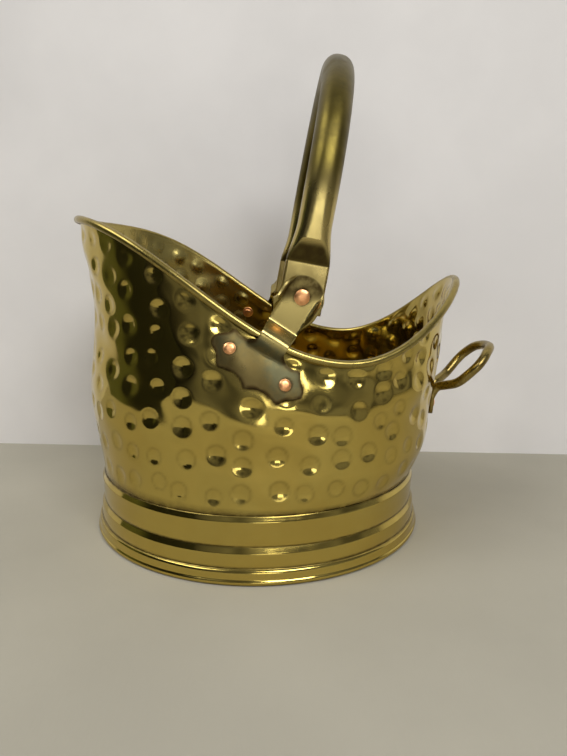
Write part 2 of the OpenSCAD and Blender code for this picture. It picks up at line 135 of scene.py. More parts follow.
class ScuttlePlinth(bpy.types.PropertyGroup):
    """Sizes of the plinth, its rolled foot and the bucket's floor."""
    flare: length("Foot flare", 0.007, "How far the foot ring stands out beyond the body")
    wire_radius: length("Foot wire radius", 0.0011, "Radius of the wire inside the rolled foot")
    floor_height: length("Floor height", 0.026, "Height of the bucket's floor")


class ScuttleEars(bpy.types.PropertyGroup):
    """Sizes of the two ears."""
    sheet: length("Ear sheet", 0.0018, "Thickness of an ear's plate")
    end_radius: length("End radius", 0.0141, "Radius of an ear's round end")
    neck: length("Neck half width", 0.0098, "Half width of an ear's neck")
    lean: leaning(33, "Lean of an ear's neck towards the rear")
    plate_below: length("Plate below rim", 0.0175, "Distance from the rim to the plate's middle")
    rivet_pitch: length("Rivet pitch", 0.0415, "Distance between the two rivets of an ear")


class ScuttleBail(bpy.types.PropertyGroup):
    """Sizes of the bail."""
    half_width: length("Half width", 0.0965, "Distance of each leg from the middle")
    rise: length("Rise", 0.1605, "Height of the centre line above the pivots")
    radius: length("Tube radius", 0.0108, "Radius of the tube")
    wall: length("Tube wall", 0.0013, "Wall of the tube")
    end_half_width: length("End half width", 0.0141, "Half width of a flattened end")
    end_half_thick: length("End half thickness", 0.0033, "Half thickness of a flattened end")
    end_above: length("End above", 0.0218, "Length of a flattened end above its pivot")
    end_below: length("End below", 0.0099, "Length of a flattened end below its pivot")
    blend: length("Blend", 0.025, "Length over which the tube narrows")
    taper: length("Taper", 0.062, "Length above a flattened end over which the tube thickens")
    thinner: length("Thinner", 0.0012, "How much thinner the tube gets towards its ends")
    pressed: length("Pressed length", 0.0145, "Length of the pressed arch above a flattened end")
    lean: leaning(9.9, "Lean of the standing bail towards the rear")


class ScuttleHandle(bpy.types.PropertyGroup):
    """Sizes of the fixed rear handle."""
    rod: length("Rod radius", 0.0036, "Radius of the rod")
    tab_half_width: length("Tab half width", 0.005, "Half width of the flattened tabs")
    tab_half_thick: length("Tab half thickness", 0.0015, "Half thickness of the tabs")
    tab_place: length("Tab place", 0.008, "Distance of each tab from the middle")
    tab_height: length("Tab height", 0.087, "Height of the tabs' lower ends")
    rivet_above: length("Rivet above", 0.009, "Height of a tab's rivet above its lower end")
    rod_height: length("Rod height", 0.1098, "Height at which the rod leaves the body")
    loop_half_width: length("Loop half width", 0.0265, "Half width of the loop")
    loop_reach: length("Loop reach", 0.0445, "Reach of the loop out from the body")
    loop_rise: length("Loop rise", 0.0309, "Rise of the loop above where it leaves the body")


class ScuttleRivets(bpy.types.PropertyGroup):
    """Sizes of the copper rivets and burrs."""
    shank: length("Shank radius", 0.0024, "Radius of an ear or tab rivet's shank")
    head: length("Head radius", 0.0038, "Radius of an ear or tab rivet's head")
    head_height: length("Head height", 0.0009, "Height of an ear or tab rivet's head")
    pivot_shank: length("Pivot shank radius", 0.0029, "Radius of a pivot rivet's shank")
    pivot_head: length("Pivot head radius", 0.0049, "Radius of a pivot rivet's head")
    pivot_height: length("Pivot head height", 0.001, "Height of a pivot rivet's head")
    burr: length("Burr radius", 0.005, "Radius of the washer under a rivet's tail")
    burr_thick: length("Burr thickness", 0.0009, "Thickness of the washers")


class ScuttleFinish(bpy.types.PropertyGroup):
    """Colours of the metals."""
    brass: colour("Brass", (0.585, 0.45, 0.117), "Polished brass of the body")
    deep_brass: colour("Deep brass", (0.55, 0.39, 0.085), "Older, browner brass")
    olive_brass: colour("Olive brass", (0.38, 0.33, 0.14), "Brass under dull lacquer")
    ear_brass: colour("Ear brass", (0.18, 0.136, 0.048), "Dulled brass of the ears' plates")
    ear_tarnish: colour("Ear tarnish", (0.092, 0.094, 0.052), "Tarnish on the ears")
    ear_bright: colour("Ear, worn bright", (0.42, 0.335, 0.12), "Necks and round ends of the ears")
    bail_brass: colour("Bail brass", (0.145, 0.113, 0.026), "Dulled brass of the bail")
    bail_tarnish: colour("Bail tarnish", (0.10, 0.078, 0.022), "Tarnish on the bail")
    bail_bright: colour("Bail, worn bright", (0.52, 0.41, 0.15), "The bail where it is rubbed")
    handle_brass: colour("Handle brass", (0.33, 0.25, 0.08), "Brass of the rear handle")
    handle_tarnish: colour("Handle tarnish", (0.17, 0.115, 0.035), "Tarnish on the handle")
    copper: colour("Copper", (0.95, 0.50, 0.22), "Copper of the rivets")
    copper_tarnish: colour("Copper tarnish", (0.62, 0.24, 0.09), "Browned copper")
    steel: colour("Steel", (0.42, 0.42, 0.43), "Wire inside the rolled edges")
    rust: colour("Rust", (0.2, 0.13, 0.08), "Rust on the wire")
    # grime_and_shade colour: old polish and soot, and also painted shade in corners, creases and
    # gaps
    grime_and_shade: colour("Grime_and_shade", (0.055, 0.035, 0.012), "Old polish and soot in the corners")
    tarnish: share("Tarnish", 0.45, "How far the tarnish has spread")


class ScuttleStage(bpy.types.PropertyGroup):
    """The floor, the wall behind and the light."""
    floor: colour("Floor", (0.405, 0.381, 0.312), "Off-white cloth on the floor")
    wall: colour("Wall", (0.80, 0.775, 0.755), "Pale wall behind")
    wall_place: length("Wall place", 0.168, "Distance of the wall behind the foot's centre")
    room: FloatProperty(name="Room", description="Brightness of the room", default=0.5, min=0)


GROUPS = {
    "scuttle_body": ScuttleBody, "scuttle_hammer": ScuttleHammer,
    "scuttle_plinth": ScuttlePlinth, "scuttle_ears": ScuttleEars, "scuttle_bail": ScuttleBail,
    "scuttle_handle": ScuttleHandle, "scuttle_rivets": ScuttleRivets,
    "scuttle_finish": ScuttleFinish, "scuttle_stage": ScuttleStage,
}


def sizes(name):
    """The named group of sizes of the scene, such as sizes("body")."""
    return getattr(bpy.context.scene, "scuttle_" + name)


FIT = 0.05 * MM         # play of a wire in its roll and a rivet in its hole
LAP = 0.12 * MM         # how far outside the wire's play the wall's face meets the roll
SEAT = 0.12 * MM        # gap under a flat plate on the curved sheet
TAB_SEAT = 0.4 * MM     # gap under a handle tab
SIDE_PLAY = 0.3 * MM    # play on each side of a bail end
ROLL_END = math.radians(-115)   # where the sheet ends on the rim's wire
SLOPE = 0.0087          # half a degree, over which slopes round the rim are taken


# ---- small helpers on arrays ----------------------------------------------------------------


def unit(v):
    """v / |v| along the last axis."""
    return v / np.linalg.norm(v, axis=-1, keepdims=True)


def stack(*parts):
    """Coordinates broadcast together into points."""
    return np.stack(np.broadcast_arrays(*parts), axis=-1).astype(float)


def smooth(x, low, high):
    """0 below low, 1 above high and the cubic 3t^2 - 2t^3 between."""
    t = np.clip((x - low) / (high - low), 0, 1)
    return t * t * (3 - 2 * t)


def bell(x, wide):
    """A bell curve of height 1, e to the power -(x / wide)^2."""
    return np.exp(-(x / wide) ** 2)


def circle(count):
    """Angles at even distances round a full turn."""
    return np.linspace(0, 2 * np.pi, count, endpoint=False)


def curve(points, steps):
    """A smooth curve through points: between p1 and p2, with neighbours p0 and p3, it is
    (2 p1 + (p2 - p0) t + (2 p0 - 5 p1 + 4 p2 - p3) t^2 + (3 p1 - p0 - 3 p2 + p3) t^3) / 2."""
    p = np.asarray(points, float)
    q = np.concatenate([p[:1], p, p[-1:]])
    t = (np.arange(steps) / steps)[None, :, None]
    p0, p1, p2, p3 = (q[i:len(q) - 3 + i, None, :] for i in range(4))
    run = 0.5 * (2 * p1 + (p2 - p0) * t + (2 * p0 - 5 * p1 + 4 * p2 - p3) * t ** 2
                 + (3 * p1 - p0 - 3 * p2 + p3) * t ** 3)
    return np.concatenate([run.reshape(-1, p.shape[1]), p[-1:]])


def path_length(path):
    """Length of a path up to each of its points."""
    return np.concatenate([[0], np.cumsum(np.linalg.norm(np.diff(path, axis=0), axis=1))])


def at_shares(path, shares):
    """Points of a path at shares of its length."""
    run = path_length(path)
    return np.stack([np.interp(shares * run[-1], run, column) for column in path.T], axis=1)


def halve(test, low, high):
    """The place between low and high where test turns from true to false."""
    for _ in range(40):
        middle = (low + high) / 2
        low, high = (middle, high) if test(middle) else (low, middle)
    return (low + high) / 2


def pressed(y, limit, power):
    """y clamped softly to limit on both sides: sign y (|y|^-power + limit^-power)^(-1/power)."""
    size = np.maximum(np.abs(y), 1e-6)
    return np.sign(y) * (size ** -power + limit ** -power) ** (-1 / power)


def swept(centre, across, through, x, y):
    """Rings round a line of centres: x along across and y along through."""
    return centre[:, None] + x[..., None] * across + y[..., None] * through


def piece(name, parts, material, body, nodes, values=None):
    """One mesh object of closed grids. Each part is (points, closed): points are rows x columns
    x 3 whose columns run round. If closed is true its rows close too, and otherwise each end
    gets a fan. values holds arrays for point attributes, in the parts' order."""
    spots, corners, counts, done = [], [], [], 0
    for points, closed in parts:
        rows, columns = points.shape[:2]
        index = np.arange(rows * columns).reshape(rows, columns)
        across = np.roll(index, -1, axis=1)
        flat, fans = points.reshape(-1, 3), np.empty((0, 3), int)
        if closed:
            up, up_across = np.roll(index, -1, axis=0), np.roll(across, -1, axis=0)
        else:
            first = np.stack([across[0], index[0], np.full(columns, len(flat))], axis=-1)
            last = np.stack([index[-1], across[-1], np.full(columns, len(flat) + 1)], axis=-1)
            fans = np.concatenate([first, last])
            flat = np.concatenate([flat, points[:1].mean(axis=1), points[-1:].mean(axis=1)])
            index, across, up, up_across = index[:-1], across[:-1], index[1:], across[1:]
        quads = np.stack([index, across, up_across, up], axis=-1).reshape(-1, 4)
        a, b, c = flat[np.concatenate([quads[:, [0, 1, 2]], quads[:, [0, 2, 3]], fans]).T]
        if (a * np.cross(b, c)).sum() < 0:
            quads, fans = quads[:, ::-1], fans[:, ::-1]
        spots.append(flat)
        corners += [done + quads.reshape(-1), done + fans.reshape(-1)]
        counts += [np.full(len(quads), 4), np.full(len(fans), 3)]
        done += len(flat)
    return mesh_piece(name, np.concatenate(spots), np.concatenate(corners),
                      np.concatenate(counts), material, body, nodes, values)


def mesh_piece(name, spots, corners, counts, material, body, nodes, values=None):
    """A mesh object from arrays of points, face corners and corners per face."""
    mesh = bpy.data.meshes.new(name)
    mesh.vertices.add(len(spots))
    mesh.vertices.foreach_set("co", spots.astype(np.float32).ravel())
    mesh.loops.add(len(corners))
    mesh.loops.foreach_set("vertex_index", corners.astype(np.int32))
    mesh.polygons.add(len(counts))
    mesh.polygons.foreach_set("loop_start", (np.cumsum(counts) - counts).astype(np.int32))
    mesh.update(calc_edges=True)
    mesh.validate()
    mesh.polygons.foreach_set("use_smooth", np.ones(len(mesh.polygons), bool))
    for key, field in (values or {}).items():
        attribute = mesh.attributes.new(key, "FLOAT", "POINT")
        full = np.zeros(len(mesh.vertices), np.float32)
        full[:len(field)] = field
        attribute.data.foreach_set("value", full)
    obj = bpy.data.objects.new(name, mesh)
    bpy.context.scene.collection.objects.link(obj)
    mesh.materials.append(material)
    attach(obj, body)
    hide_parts(*nodes)
    return obj


# ---- the oval, swept mouth and the wall -----------------------------------------------------


def rim(a):
    """Centre line of the rolled rim. From above it is an egg: x = middle + half length cos a, and
    y = sin a (half width + even cos^2 a - odd cos^3 a). Its height is half a cosine wave from the
    low place up to the pouring lip, and a parabola up to the rear lip."""
    b = sizes("body")
    c = np.cos(a)
    x = (b.rear_reach - b.spout_reach) / 2 + (b.rear_reach + b.spout_reach) / 2 * c
    even = (b.spout_breadth + b.rear_breadth) / 2 - b.mouth_half
    odd = (b.spout_breadth - b.rear_breadth) / 2
    y = np.sin(a) * (b.mouth_half + even * c ** 2 - odd * c ** 3)
    turn = np.pi * (b.low_place - x) / (b.low_place + b.spout_reach)
    front = (b.spout_height - b.low_height) * (1 - np.cos(turn)) / 2
    back = (b.rear_height - b.low_height) * ((x - b.low_place) / (b.rear_reach - b.low_place)) ** 2
    return stack(x, y, b.low_height + np.where(x < b.low_place, front, back))


def rim_run(a):
    """Direction of the rim."""
    return unit(rim(a + SLOPE) - rim(a - SLOPE))


def rim_out(a):
    """Level direction out of the mouth, square to the rim."""
    t = rim_run(a)
    return unit(stack(t[..., 1], -t[..., 0], 0))


# the wall's swell in millimetres, w0 to w3, at its sides, at the rear and at the lip
SWELLS = np.array([[5.1, -1.5, 0.1, 0.3], [3.6, 3.0, 0.8, 1.3], [0.7, 3.5, 0.5, -1.3]])


def wall(a, s, off=0.0):
    """Outer face of the wall at angle a and share s of its height, moved out by off. A straight
    line from the round base to the oval rim, plus a swell w0 sin(pi s) + w1 sin(2 pi s)
    + w2 sin(3 pi s) + w3 sin(4 pi s) whose w turns from side to rear and lip by 1 - sin^4 a."""
    b = sizes("body")
    a, s = np.broadcast_arrays(np.asarray(a, float), np.asarray(s, float))
    radial = stack(np.cos(a), np.sin(a), 0)
    base = radial * b.base_radius + np.array([0, 0, b.base_height])
    out = rim_out(a)
    edge = rim(a) - out * (b.wire_radius + FIT + LAP)
    side, rear, lip = SWELLS * MM
    turned = (1 - np.sin(a) ** 4)[..., None]
    waves = side + (np.where(np.cos(a)[..., None] > 0, rear, lip) - side) * turned
    swell = sum(waves[..., k] * np.sin((k + 1) * np.pi * s) for k in range(4))
    s = s[..., None]
    return (base + (edge - base) * s + out * swell[..., None]
            + unit(radial * (1 - s) + out * s) * off)


def share_at(a, z):
    """Share of the wall's height at height z."""
    b = sizes("body")
    return (z - b.base_height) / (rim(a)[..., 2] - b.base_height)


def wall_normal(a, s):
    """Outward normal of the wall, the cross product of its slopes round and up."""
    return unit(np.cross(wall(a + SLOPE, s) - wall(a - SLOPE, s),
                         wall(a, s + 0.01) - wall(a, s - 0.01)))


def hammer_marks():
    """Middles, radii and depths of the hammer's marks. Each column has its lowest mark just above
    the plinth and its highest just under the rim, and evenly spaced ones between, every second
    column a little higher. Each mark strays, and marks that come too close push each other off."""
    h, b = sizes("hammer"), sizes("body")
    rng = np.random.default_rng(h.seed)
    most_rows, first_column, wider_at_lip = 12, np.radians(297), 2.4 * MM
    row, column = np.meshgrid(np.arange(most_rows), np.arange(h.columns), indexing="ij")
    a = first_column + 2 * np.pi * column / h.columns
    low = b.base_height + h.first_row
    high = rim(a)[..., 2] - h.rim_clear
    steps = (high - low) / (h.pitch + wider_at_lip * smooth(-np.cos(a), -0.2, 0.5))
    steps = np.maximum(2, np.round(steps))
    part = row / steps
    z = low + (high - low) * part + h.pitch * 0.3 * (column % 2) * np.sin(np.pi * part)
    keep = row <= steps
    reach = b.base_radius
    spots = np.stack([a[keep] * reach, z[keep]], axis=1)
    spots += rng.normal(0, h.stray, spots.shape) * np.where(part[keep] < 0.95, 1, 0.5)[:, None]
    for _ in range(8):
        apart = spots[:, None] - spots[None]
        apart[..., 0] = (apart[..., 0] / reach + np.pi) % (2 * np.pi) * reach - np.pi * reach
        distance = np.linalg.norm(apart, axis=-1) + np.eye(len(spots))
        push = np.maximum(0, 1 - distance / h.apart)[..., None] * 0.3
        spots = spots + (apart * push).sum(axis=1)
    a, z = spots[:, 0] / reach, spots[:, 1]
    z = np.clip(z, low - 3 * MM, rim(a)[..., 2] - h.rim_clear + 1 * MM)
    radius = h.radius * rng.uniform(0.88, 1.1, z.shape)
    upper = smooth(z, b.base_height + 20 * MM, b.base_height + 70 * MM)
    depth = (h.shallow + (h.deep - h.shallow) * upper) * rng.uniform(0.75, 1.1, z.shape)
    return wall(a, share_at(a, z)), radius, depth


def hammered(a, s, marks):
    """How far the wall is struck in at a and s, and the painted shade along the marks' edges. Each
    mark is a shallow bowl depth (1 - (r / radius)^2) with a softened edge, which drags the sheet
    round it in by a bell curve, and broad waves of a few sines lie under all of them."""
    h = sizes("hammer")
    place = wall(a, s)
    total, rings = np.zeros(place.shape[:2]), np.zeros(place.shape[:2])
    for middle, radius, depth in zip(*marks):
        near = np.abs(place[..., 2] - middle[2]) < 4 * radius
        q = np.linalg.norm(place[near] - middle, axis=-1) / radius
        bowl = 1 - q ** 2
        cup = (bowl + np.sqrt(bowl ** 2 + 0.05)) / 2
        total[near] += depth * (cup * (q < 1.6) + h.drag * bell(q, 1.9))
        # painted shade: a dark ring along the edge of each mark
        rings[near] = np.maximum(rings[near], bell(q - 0.97, 0.13) * depth / h.deep)
    x, y, z = np.moveaxis(place, -1, 0)
    sway = (np.sin(95 * x + 61 * z + 1.1) * np.cos(120 * z - 34 * y)
            + 0.7 * np.sin(148 * y - 90 * z + 0.4) + 0.5 * np.sin(210 * z + 75 * x - 130 * y))
    fade = smooth(s, 0, 0.06) * (1 - smooth(s, 0.93, 1))
    swell = h.sway * sway * (0.35 + 0.65 * smooth(s, 0.3, 0.6))
    return (total + swell) * fade, rings * fade


def body_surface():
    """The body as one closed sheet: up the outside, round the wire in its roll and down the
    inside. With its points come their grime_and_shade values, dirt and painted shade, and their
    share of olive brass."""
    b = sizes("body")
    a = circle(500)
    outer = np.concatenate([np.linspace(0, 0.06, 4), np.linspace(0.072, 0.97, 102), [0.985, 1]])
    inner = np.concatenate([[1, 0.985], np.linspace(0.965, 0.1, 62), [0.05, 0]])
    marks = hammer_marks()

    def face(s, off):
        dent, ring = hammered(a[None], s[:, None], marks)
        way = wall_normal(a[None], np.minimum(s, 0.98)[:, None])
        return wall(a[None], s[:, None], off) - way * dent[..., None], ring

    middle, out = rim(a), rim_out(a)
    up = np.cross(out, rim_run(a))
    beat = (1 + 0.012 * np.sin(23 * a) + 0.01 * np.sin(57 * a + 1))[:, None]

    def roll(radius, turns):
        q = turns[:, None, None]
        return middle + (out * np.cos(q) + up * np.sin(q)) * radius * beat

    def hidden_edge(radius):
        return stack(radius * np.cos(a), radius * np.sin(a), b.skirt_height)[None]

    face_out, mark_shade_out = face(outer, 0.0)
    face_in, mark_shade_in = face(inner, -b.sheet)
    inside = b.wire_radius + FIT
    to_end, from_end = np.linspace(np.pi, ROLL_END, 7)[1:], np.linspace(ROLL_END, np.pi, 17)[:-1]
    rows = np.concatenate([
        hidden_edge(b.base_radius), face_out, roll(inside, to_end),
        roll(inside + b.sheet, from_end), face_in, hidden_edge(b.base_radius - b.sheet)])
    # painted shade in the groove where the sheet's cut end tucks under the bead, and some dirt on
    # the bead
    groove_shade = [1, 1, 0.95, 0.8]
    roll_grime_and_shade = [1] * len(to_end) + groove_shade + [0.45] * (len(from_end) - len(groove_shade))
    # painted shade and dirt where the wall meets the plinth outside and the floor inside, and
    # painted shade along the hammer marks' edges
    grime_and_shade = np.concatenate([
        np.zeros((1, len(a))), np.maximum(0.4 * mark_shade_out, 1 - smooth(outer, 0, 0.035)[:, None]),
        np.repeat(np.array(roll_grime_and_shade)[:, None], len(a), axis=1),
        np.maximum(0.45 * mark_shade_in, 1 - smooth(inner, 0, 0.06)[:, None]), np.ones((1, len(a)))])
    spots, shade = rows[1:1 + len(outer)], grime_and_shade[1:1 + len(outer)]
    # painted shadow on the wall round the edge of each ear's plate
    for side in (NEAR, FAR):
        ear = Ear(side)
        edge = ear.inner_face(*ear_outline(ear).T)
        close = np.linalg.norm(spots - edge.mean(axis=0), axis=-1) < 50 * MM
        shade[close] = np.maximum(shade[close], 1.3 * edge_shade(spots[close], edge, 2.2 * MM))
    second = np.zeros(grime_and_shade.shape)
    far_inside = smooth(-np.cos(a), -0.1, 0.3) * (np.sin(a) > 0)
    inner_rows = len(inner) + 1
    second[-inner_rows:] = 0.1 + 0.45 * far_inside
    second[-inner_rows - len(from_end):-inner_rows] = 0.25
    return rows, grime_and_shade, second


# ---- plinth, foot and floor -----------------------------------------------------------------


def revolve(profile, columns, wander=0.0):
    """A profile of (radius, height) carried round Z. wander sways the radius by a few sines."""
    a = circle(columns)[None]
    r, z = profile[:, :1], profile[:, 1:]
    sway = np.sin(3 * a + 0.6) + 0.6 * np.sin(7 * a + 200 * z) + 0.4 * np.sin(16 * a - 160 * z)
    r = r + wander * sway
    return stack(r * np.cos(a), r * np.sin(a), z)


def plinth_profile():
    """The spun plinth's outer face from its top edge to the rolled foot, as steps out from the
    body, then the hidden inner face. With it comes the number of points of the outer face."""
    p, b = sizes("plinth"), sizes("body")
    h, flange = b.base_height / MM, p.flare / MM - 1.2
    # corners (out from the body, height) in millimetres
    face = [[0.35, h], [0.7, h - 0.3], [1.4, h - 1.7], [2.1, h - 3.1], [2.3, h - 3.7],
            [2.3, h - 4.6], [1.9, h - 10], [1.7, h - 16], [1.4, h - 19.6], [1.2, h - 20.6],
            [1.4, h - 21.2], [2.2, h - 22.7], [3.0, h - 24.2], [3.3, h - 24.9], [3.5, h - 27.2],
            [3.7, 14], [3.6, 11.8], [3.8, 10.6], [flange - 1.1, 10], [flange - 0.5, 9.1],
            [flange - 0.2, 8], [flange, 6.6]]
    wire, sheet, worn_flat = p.wire_radius / MM + 0.05, b.sheet / MM, 0.15
    middle = np.array([p.flare / MM - wire - sheet, wire + sheet - worn_flat])

    def arc(r, count):
        q = np.radians(np.linspace(50, -150, count))
        return np.maximum([-np.inf, 0], middle + r * np.stack([np.cos(q), np.sin(q)], axis=1))

    outer = np.concatenate([curve(face, 6), arc(wire + sheet, 25)])
    outer = at_shares(outer, np.linspace(0, 1, 150))
    step = np.gradient(outer, axis=0)
    inward = outer + unit(np.stack([step[:, 1], -step[:, 0]], axis=1)) * sheet
    keep = (inward[:, 1] < h - 5) & (inward[:, 1] > 7)
    inner = np.concatenate([[[0.05, h], [0.05, h - 3.5]], inward[keep][::4], arc(wire, 9)])
    run = np.concatenate([outer, inner[::-1]]) * MM
    return run + np.array([b.base_radius, 0]), len(outer)


def floor_profile():
    """The floor pan: a flat disc with two pressed rings and its edge turned down."""
    b, top = sizes("body"), sizes("plinth").floor_height
    out = b.base_radius - b.sheet - 2 * FIT
    bend = 3 * MM
    r = np.linspace(0.004, out - bend, 46)
    rings = 0.3 * (1 - smooth(r, 0.085, 0.09)) + 0.2 * (1 - smooth(r, 0.04, 0.044))
    q = np.radians(np.linspace(90, 0, 6))[1:]
    turn = np.stack([out - bend + bend * np.cos(q), top - bend + bend * np.sin(q)], axis=1)
    under = [[out, b.skirt_height], [out - b.sheet, b.skirt_height],
             [out - b.sheet, top - 4 * MM], [out - 4 * MM, top - b.sheet],
             [0.004, top - b.sheet - 0.5 * MM]]
    return np.concatenate([np.stack([r, top - rings * MM], axis=1), turn, under])


# ---- ears -----------------------------------------------------------------------------------


def leaning_axes(lean):
    """Directions across, out and along of a frame at the pivot: out runs along the hinge line,
    and along leans from straight up towards the rear by lean."""
    level, up = np.array([AXLE[1], -AXLE[0], 0]), np.array([0, 0, 1.0])
    c, s = math.cos(lean), math.sin(lean)
    return np.stack([c * level - s * up, AXLE, s * level + c * up])


def from_leaning(places, lean):
    """(across, out, along) of a leaning frame as points of the row."""
    return PIVOT + places @ leaning_axes(lean)


def in_ear(points):
    """Points of the row as (across, out, along) of the leaning ears."""
    return (points - PIVOT) @ leaning_axes(sizes("ears").lean).T


class Ear:
    """Where one ear meets the rim and the wall."""

    def __init__(self, side):
        e, b, bail = sizes("ears"), sizes("body"), sizes("bail")
        self.side = side
        self.angle = halve(lambda a: in_ear(rim(a))[0] < 0,
                           *np.radians((240, 300) if side == NEAR else (120, 60)))
        crossing = in_ear(rim(self.angle))
        self.drop = -crossing[2]
        self.plate_drop = self.drop + e.plate_below
        self.roll = b.wire_radius + FIT + b.sheet
        inner = bail.half_width + bail.end_half_thick + SIDE_PLAY
        over = abs(crossing[1]) + self.roll + 4 * SEAT
        beside = abs(in_ear(wall(self.angle, 0.92))[1]) + 1.4 * MM
        low_bend = self.drop + self.roll
        # the inner face's section through plate, neck and round end, as corners (along, out)
        self.path = np.array([
            [-self.plate_drop - 30 * MM, beside], [-self.plate_drop + 10 * MM, beside],
            [-low_bend - 1 * MM, over], [self.roll + 0.3 * MM - self.drop, over],
            [self.roll + 8 * MM - self.drop, inner], [e.end_radius, inner]])

    def neck_out(self, along):
        """Distance of the neck's inner face from the middle, with its bends eased by averaging
        the straight runs over three millimetres."""
        return np.mean([np.interp(along + reach, *self.path.T)
                        for reach in np.linspace(-1.5, 1.5, 9) * MM], axis=0)

    def plate_out(self, across, along):
        """Distance of the wall's face under the plate, by Newton's rule on the wall's a and s."""
        a, s = np.full(across.shape, self.angle), np.full(across.shape, 0.82)
        step = 1e-4

        def face(a, s):
            return in_ear(wall(a, s, SEAT))

        for _ in range(9):
            here = face(a, s)
            by_a, by_s = (face(a + step, s) - here) / step, (face(a, s + step) - here) / step
            du, dv = across - here[..., 0], along - here[..., 2]
            det = by_a[..., 0] * by_s[..., 2] - by_s[..., 0] * by_a[..., 2]
            a = a + np.clip((du * by_s[..., 2] - dv * by_s[..., 0]) / det, -0.2, 0.2)
            s = s + np.clip((dv * by_a[..., 0] - du * by_a[..., 2]) / det, -0.3, 0.3)
            s = np.clip(s, 0.2, 1.05)
        return np.abs(face(a, s)[..., 1])

    def inner_face(self, across, along):
        """The ear's inner face: the wall under the plate, easing into the neck over the rim."""
        roll_end = -self.drop - self.roll
        neck = (smooth(along, roll_end - 6.5 * MM, roll_end - 1.5 * MM)
                * (1 - smooth(np.abs(across), 10.5 * MM, 15 * MM)))
        plate = self.plate_out(across, np.minimum(along, -self.drop))
        out = plate * (1 - neck) + self.neck_out(along) * neck
        flat = smooth(along, -self.drop + 2 * MM, -self.drop + 6 * MM)
        bow = 0.12 * MM * np.sin(along * 260 + across * 180) * (1 - flat)
        return from_leaning(stack(across, self.side * (out + bow), along), sizes("ears").lean)


# the plate's right half in millimetres, across and along from its middle to its tip
UPPER_SCALLOPS = [[13.7, 11], [18.7, 10.2], [24.2, 11.4], [26.8, 7.7], [32.2, 3.1], [33.3, -1]]
LOWER_SCALLOPS = [[0, -15.2], [5.8, -11.4], [11.8, -10.4], [17.2, -11.6], [21.7, -12.3],
                  [25.7, -7.3], [29.8, -4.5], [33.3, -1]]
PLATE_TOP = 15.0        # the plate's top edge under the neck, in the same millimetres
HALF_NECK = 11          # points from the middle of the neck to its edge
BEYOND_NECK = 38        # points from the neck's edge to the tip


def ear_edges():
    """Upper and lower edges of the plate's right half, from the neck out to the tip, with equally
    many points, in millimetres across and along from the plate's middle."""
    neck = sizes("ears").neck / MM
    under_neck = stack(np.linspace(0, neck, HALF_NECK), PLATE_TOP)
    beyond = at_shares(curve([[neck, PLATE_TOP]] + UPPER_SCALLOPS, 8),
                       np.linspace(0, 1, BEYOND_NECK))
    neck_share = 0.27
    shares = [np.linspace(0, neck_share, HALF_NECK), np.linspace(neck_share, 1, BEYOND_NECK)[1:]]
    return (np.concatenate([under_neck, beyond[1:]]),
            at_shares(curve(LOWER_SCALLOPS, 8), np.concatenate(shares)))


def ear_outline(ear):
    """The plate's outline without its neck, across and along from the pivot."""
    upper, lower = ear_edges()
    right = np.concatenate([upper[HALF_NECK:], lower]) * MM
    return np.concatenate([right, right * [-1, 1]]) - [0, ear.plate_drop]


def edge_shade(points, edge, reach):
    """Painted shade that fades by a bell curve with the distance to the nearest point of an edge.
    """
    return bell(np.linalg.norm(points[:, None] - edge[None], axis=-1).min(axis=1), reach)


def plate_net(ear):
    """The plate's points (across, along), ruled from its lower to its upper scalloped edge."""
    upper, lower = ear_edges()
    t = np.linspace(1, 0, 19)[:, None, None]
    right = upper * (1 - t) + lower * t
    return np.concatenate([right[:, :0:-1] * [-1, 1], right], axis=1) * MM - [0, ear.plate_drop]


def strap_net(ear):
    """The neck and round end above the plate, as rows from the front edge to the rear one. Half a
    row is the neck's half width, then turns by shoulders into the round end's circle."""
    e = sizes("ears")
    r = e.end_radius
    start = PLATE_TOP * MM - ear.plate_drop
    turns = np.radians(np.linspace(90, 3, 24))
    along = np.concatenate([np.linspace(start, -8.2 * MM, 44), [-6 * MM, -4 * MM, -2 * MM],
                            r * np.cos(turns)])
    marks = [start, 3 * MM - ear.drop, *(np.array([-20, -12, -9.4, -7.5, -4, 0]) * MM)]
    over = np.sqrt(np.maximum(0, r * r - along ** 2))
    part = np.linspace(0, 1, HALF_NECK)
    front, rear = (
        np.where(along > 0, over, np.interp(along, marks, [
            e.neck, e.neck + 0.1 * MM, *(r + np.array(shoulder) * MM)]))[:, None] * part
        for shoulder in ([-3.6, 0.7, 1.5, 0.2, 0, 0], [-2.6, -0.7, -0.2, 0.2, 0, 0]))
    return stack(np.concatenate([-front[:, :0:-1], rear], axis=1), along[:, None])


def ear_shade(ear, flat):
    """Painted shade on an ear's points round its rivets' heads, along its plate's edge and over the
    upper rear of the round end, and a darkening that grows lower down."""
    r, half_pitch = sizes("rivets"), sizes("ears").rivet_pitch / 2
    x, y = flat.T
    heads = [(-half_pitch, -ear.plate_drop, r.head), (half_pitch, -ear.plate_drop, r.head),
             (0, 0, r.pivot_head)]
    # painted shade round the rivets' heads and along the plate's edge, and over the round end's
    # upper rear
    rivet_ring_shade = sum(bell(np.hypot(x - u, y - v) - head, 0.8 * MM) for u, v, head in heads)
    top = (smooth(0.84 * y - 0.54 * x, -5 * MM, 4 * MM)
           * (1 - smooth(np.hypot(x, y), 13 * MM, 14.5 * MM) * 0.8))
    return np.clip(0.9 * rivet_ring_shade + 1.2 * edge_shade(flat, ear_outline(ear), 1.5 * MM)
                   + 0.25 * smooth(-y, 10 * MM, 60 * MM) + 0.95 * top, 0, 1)


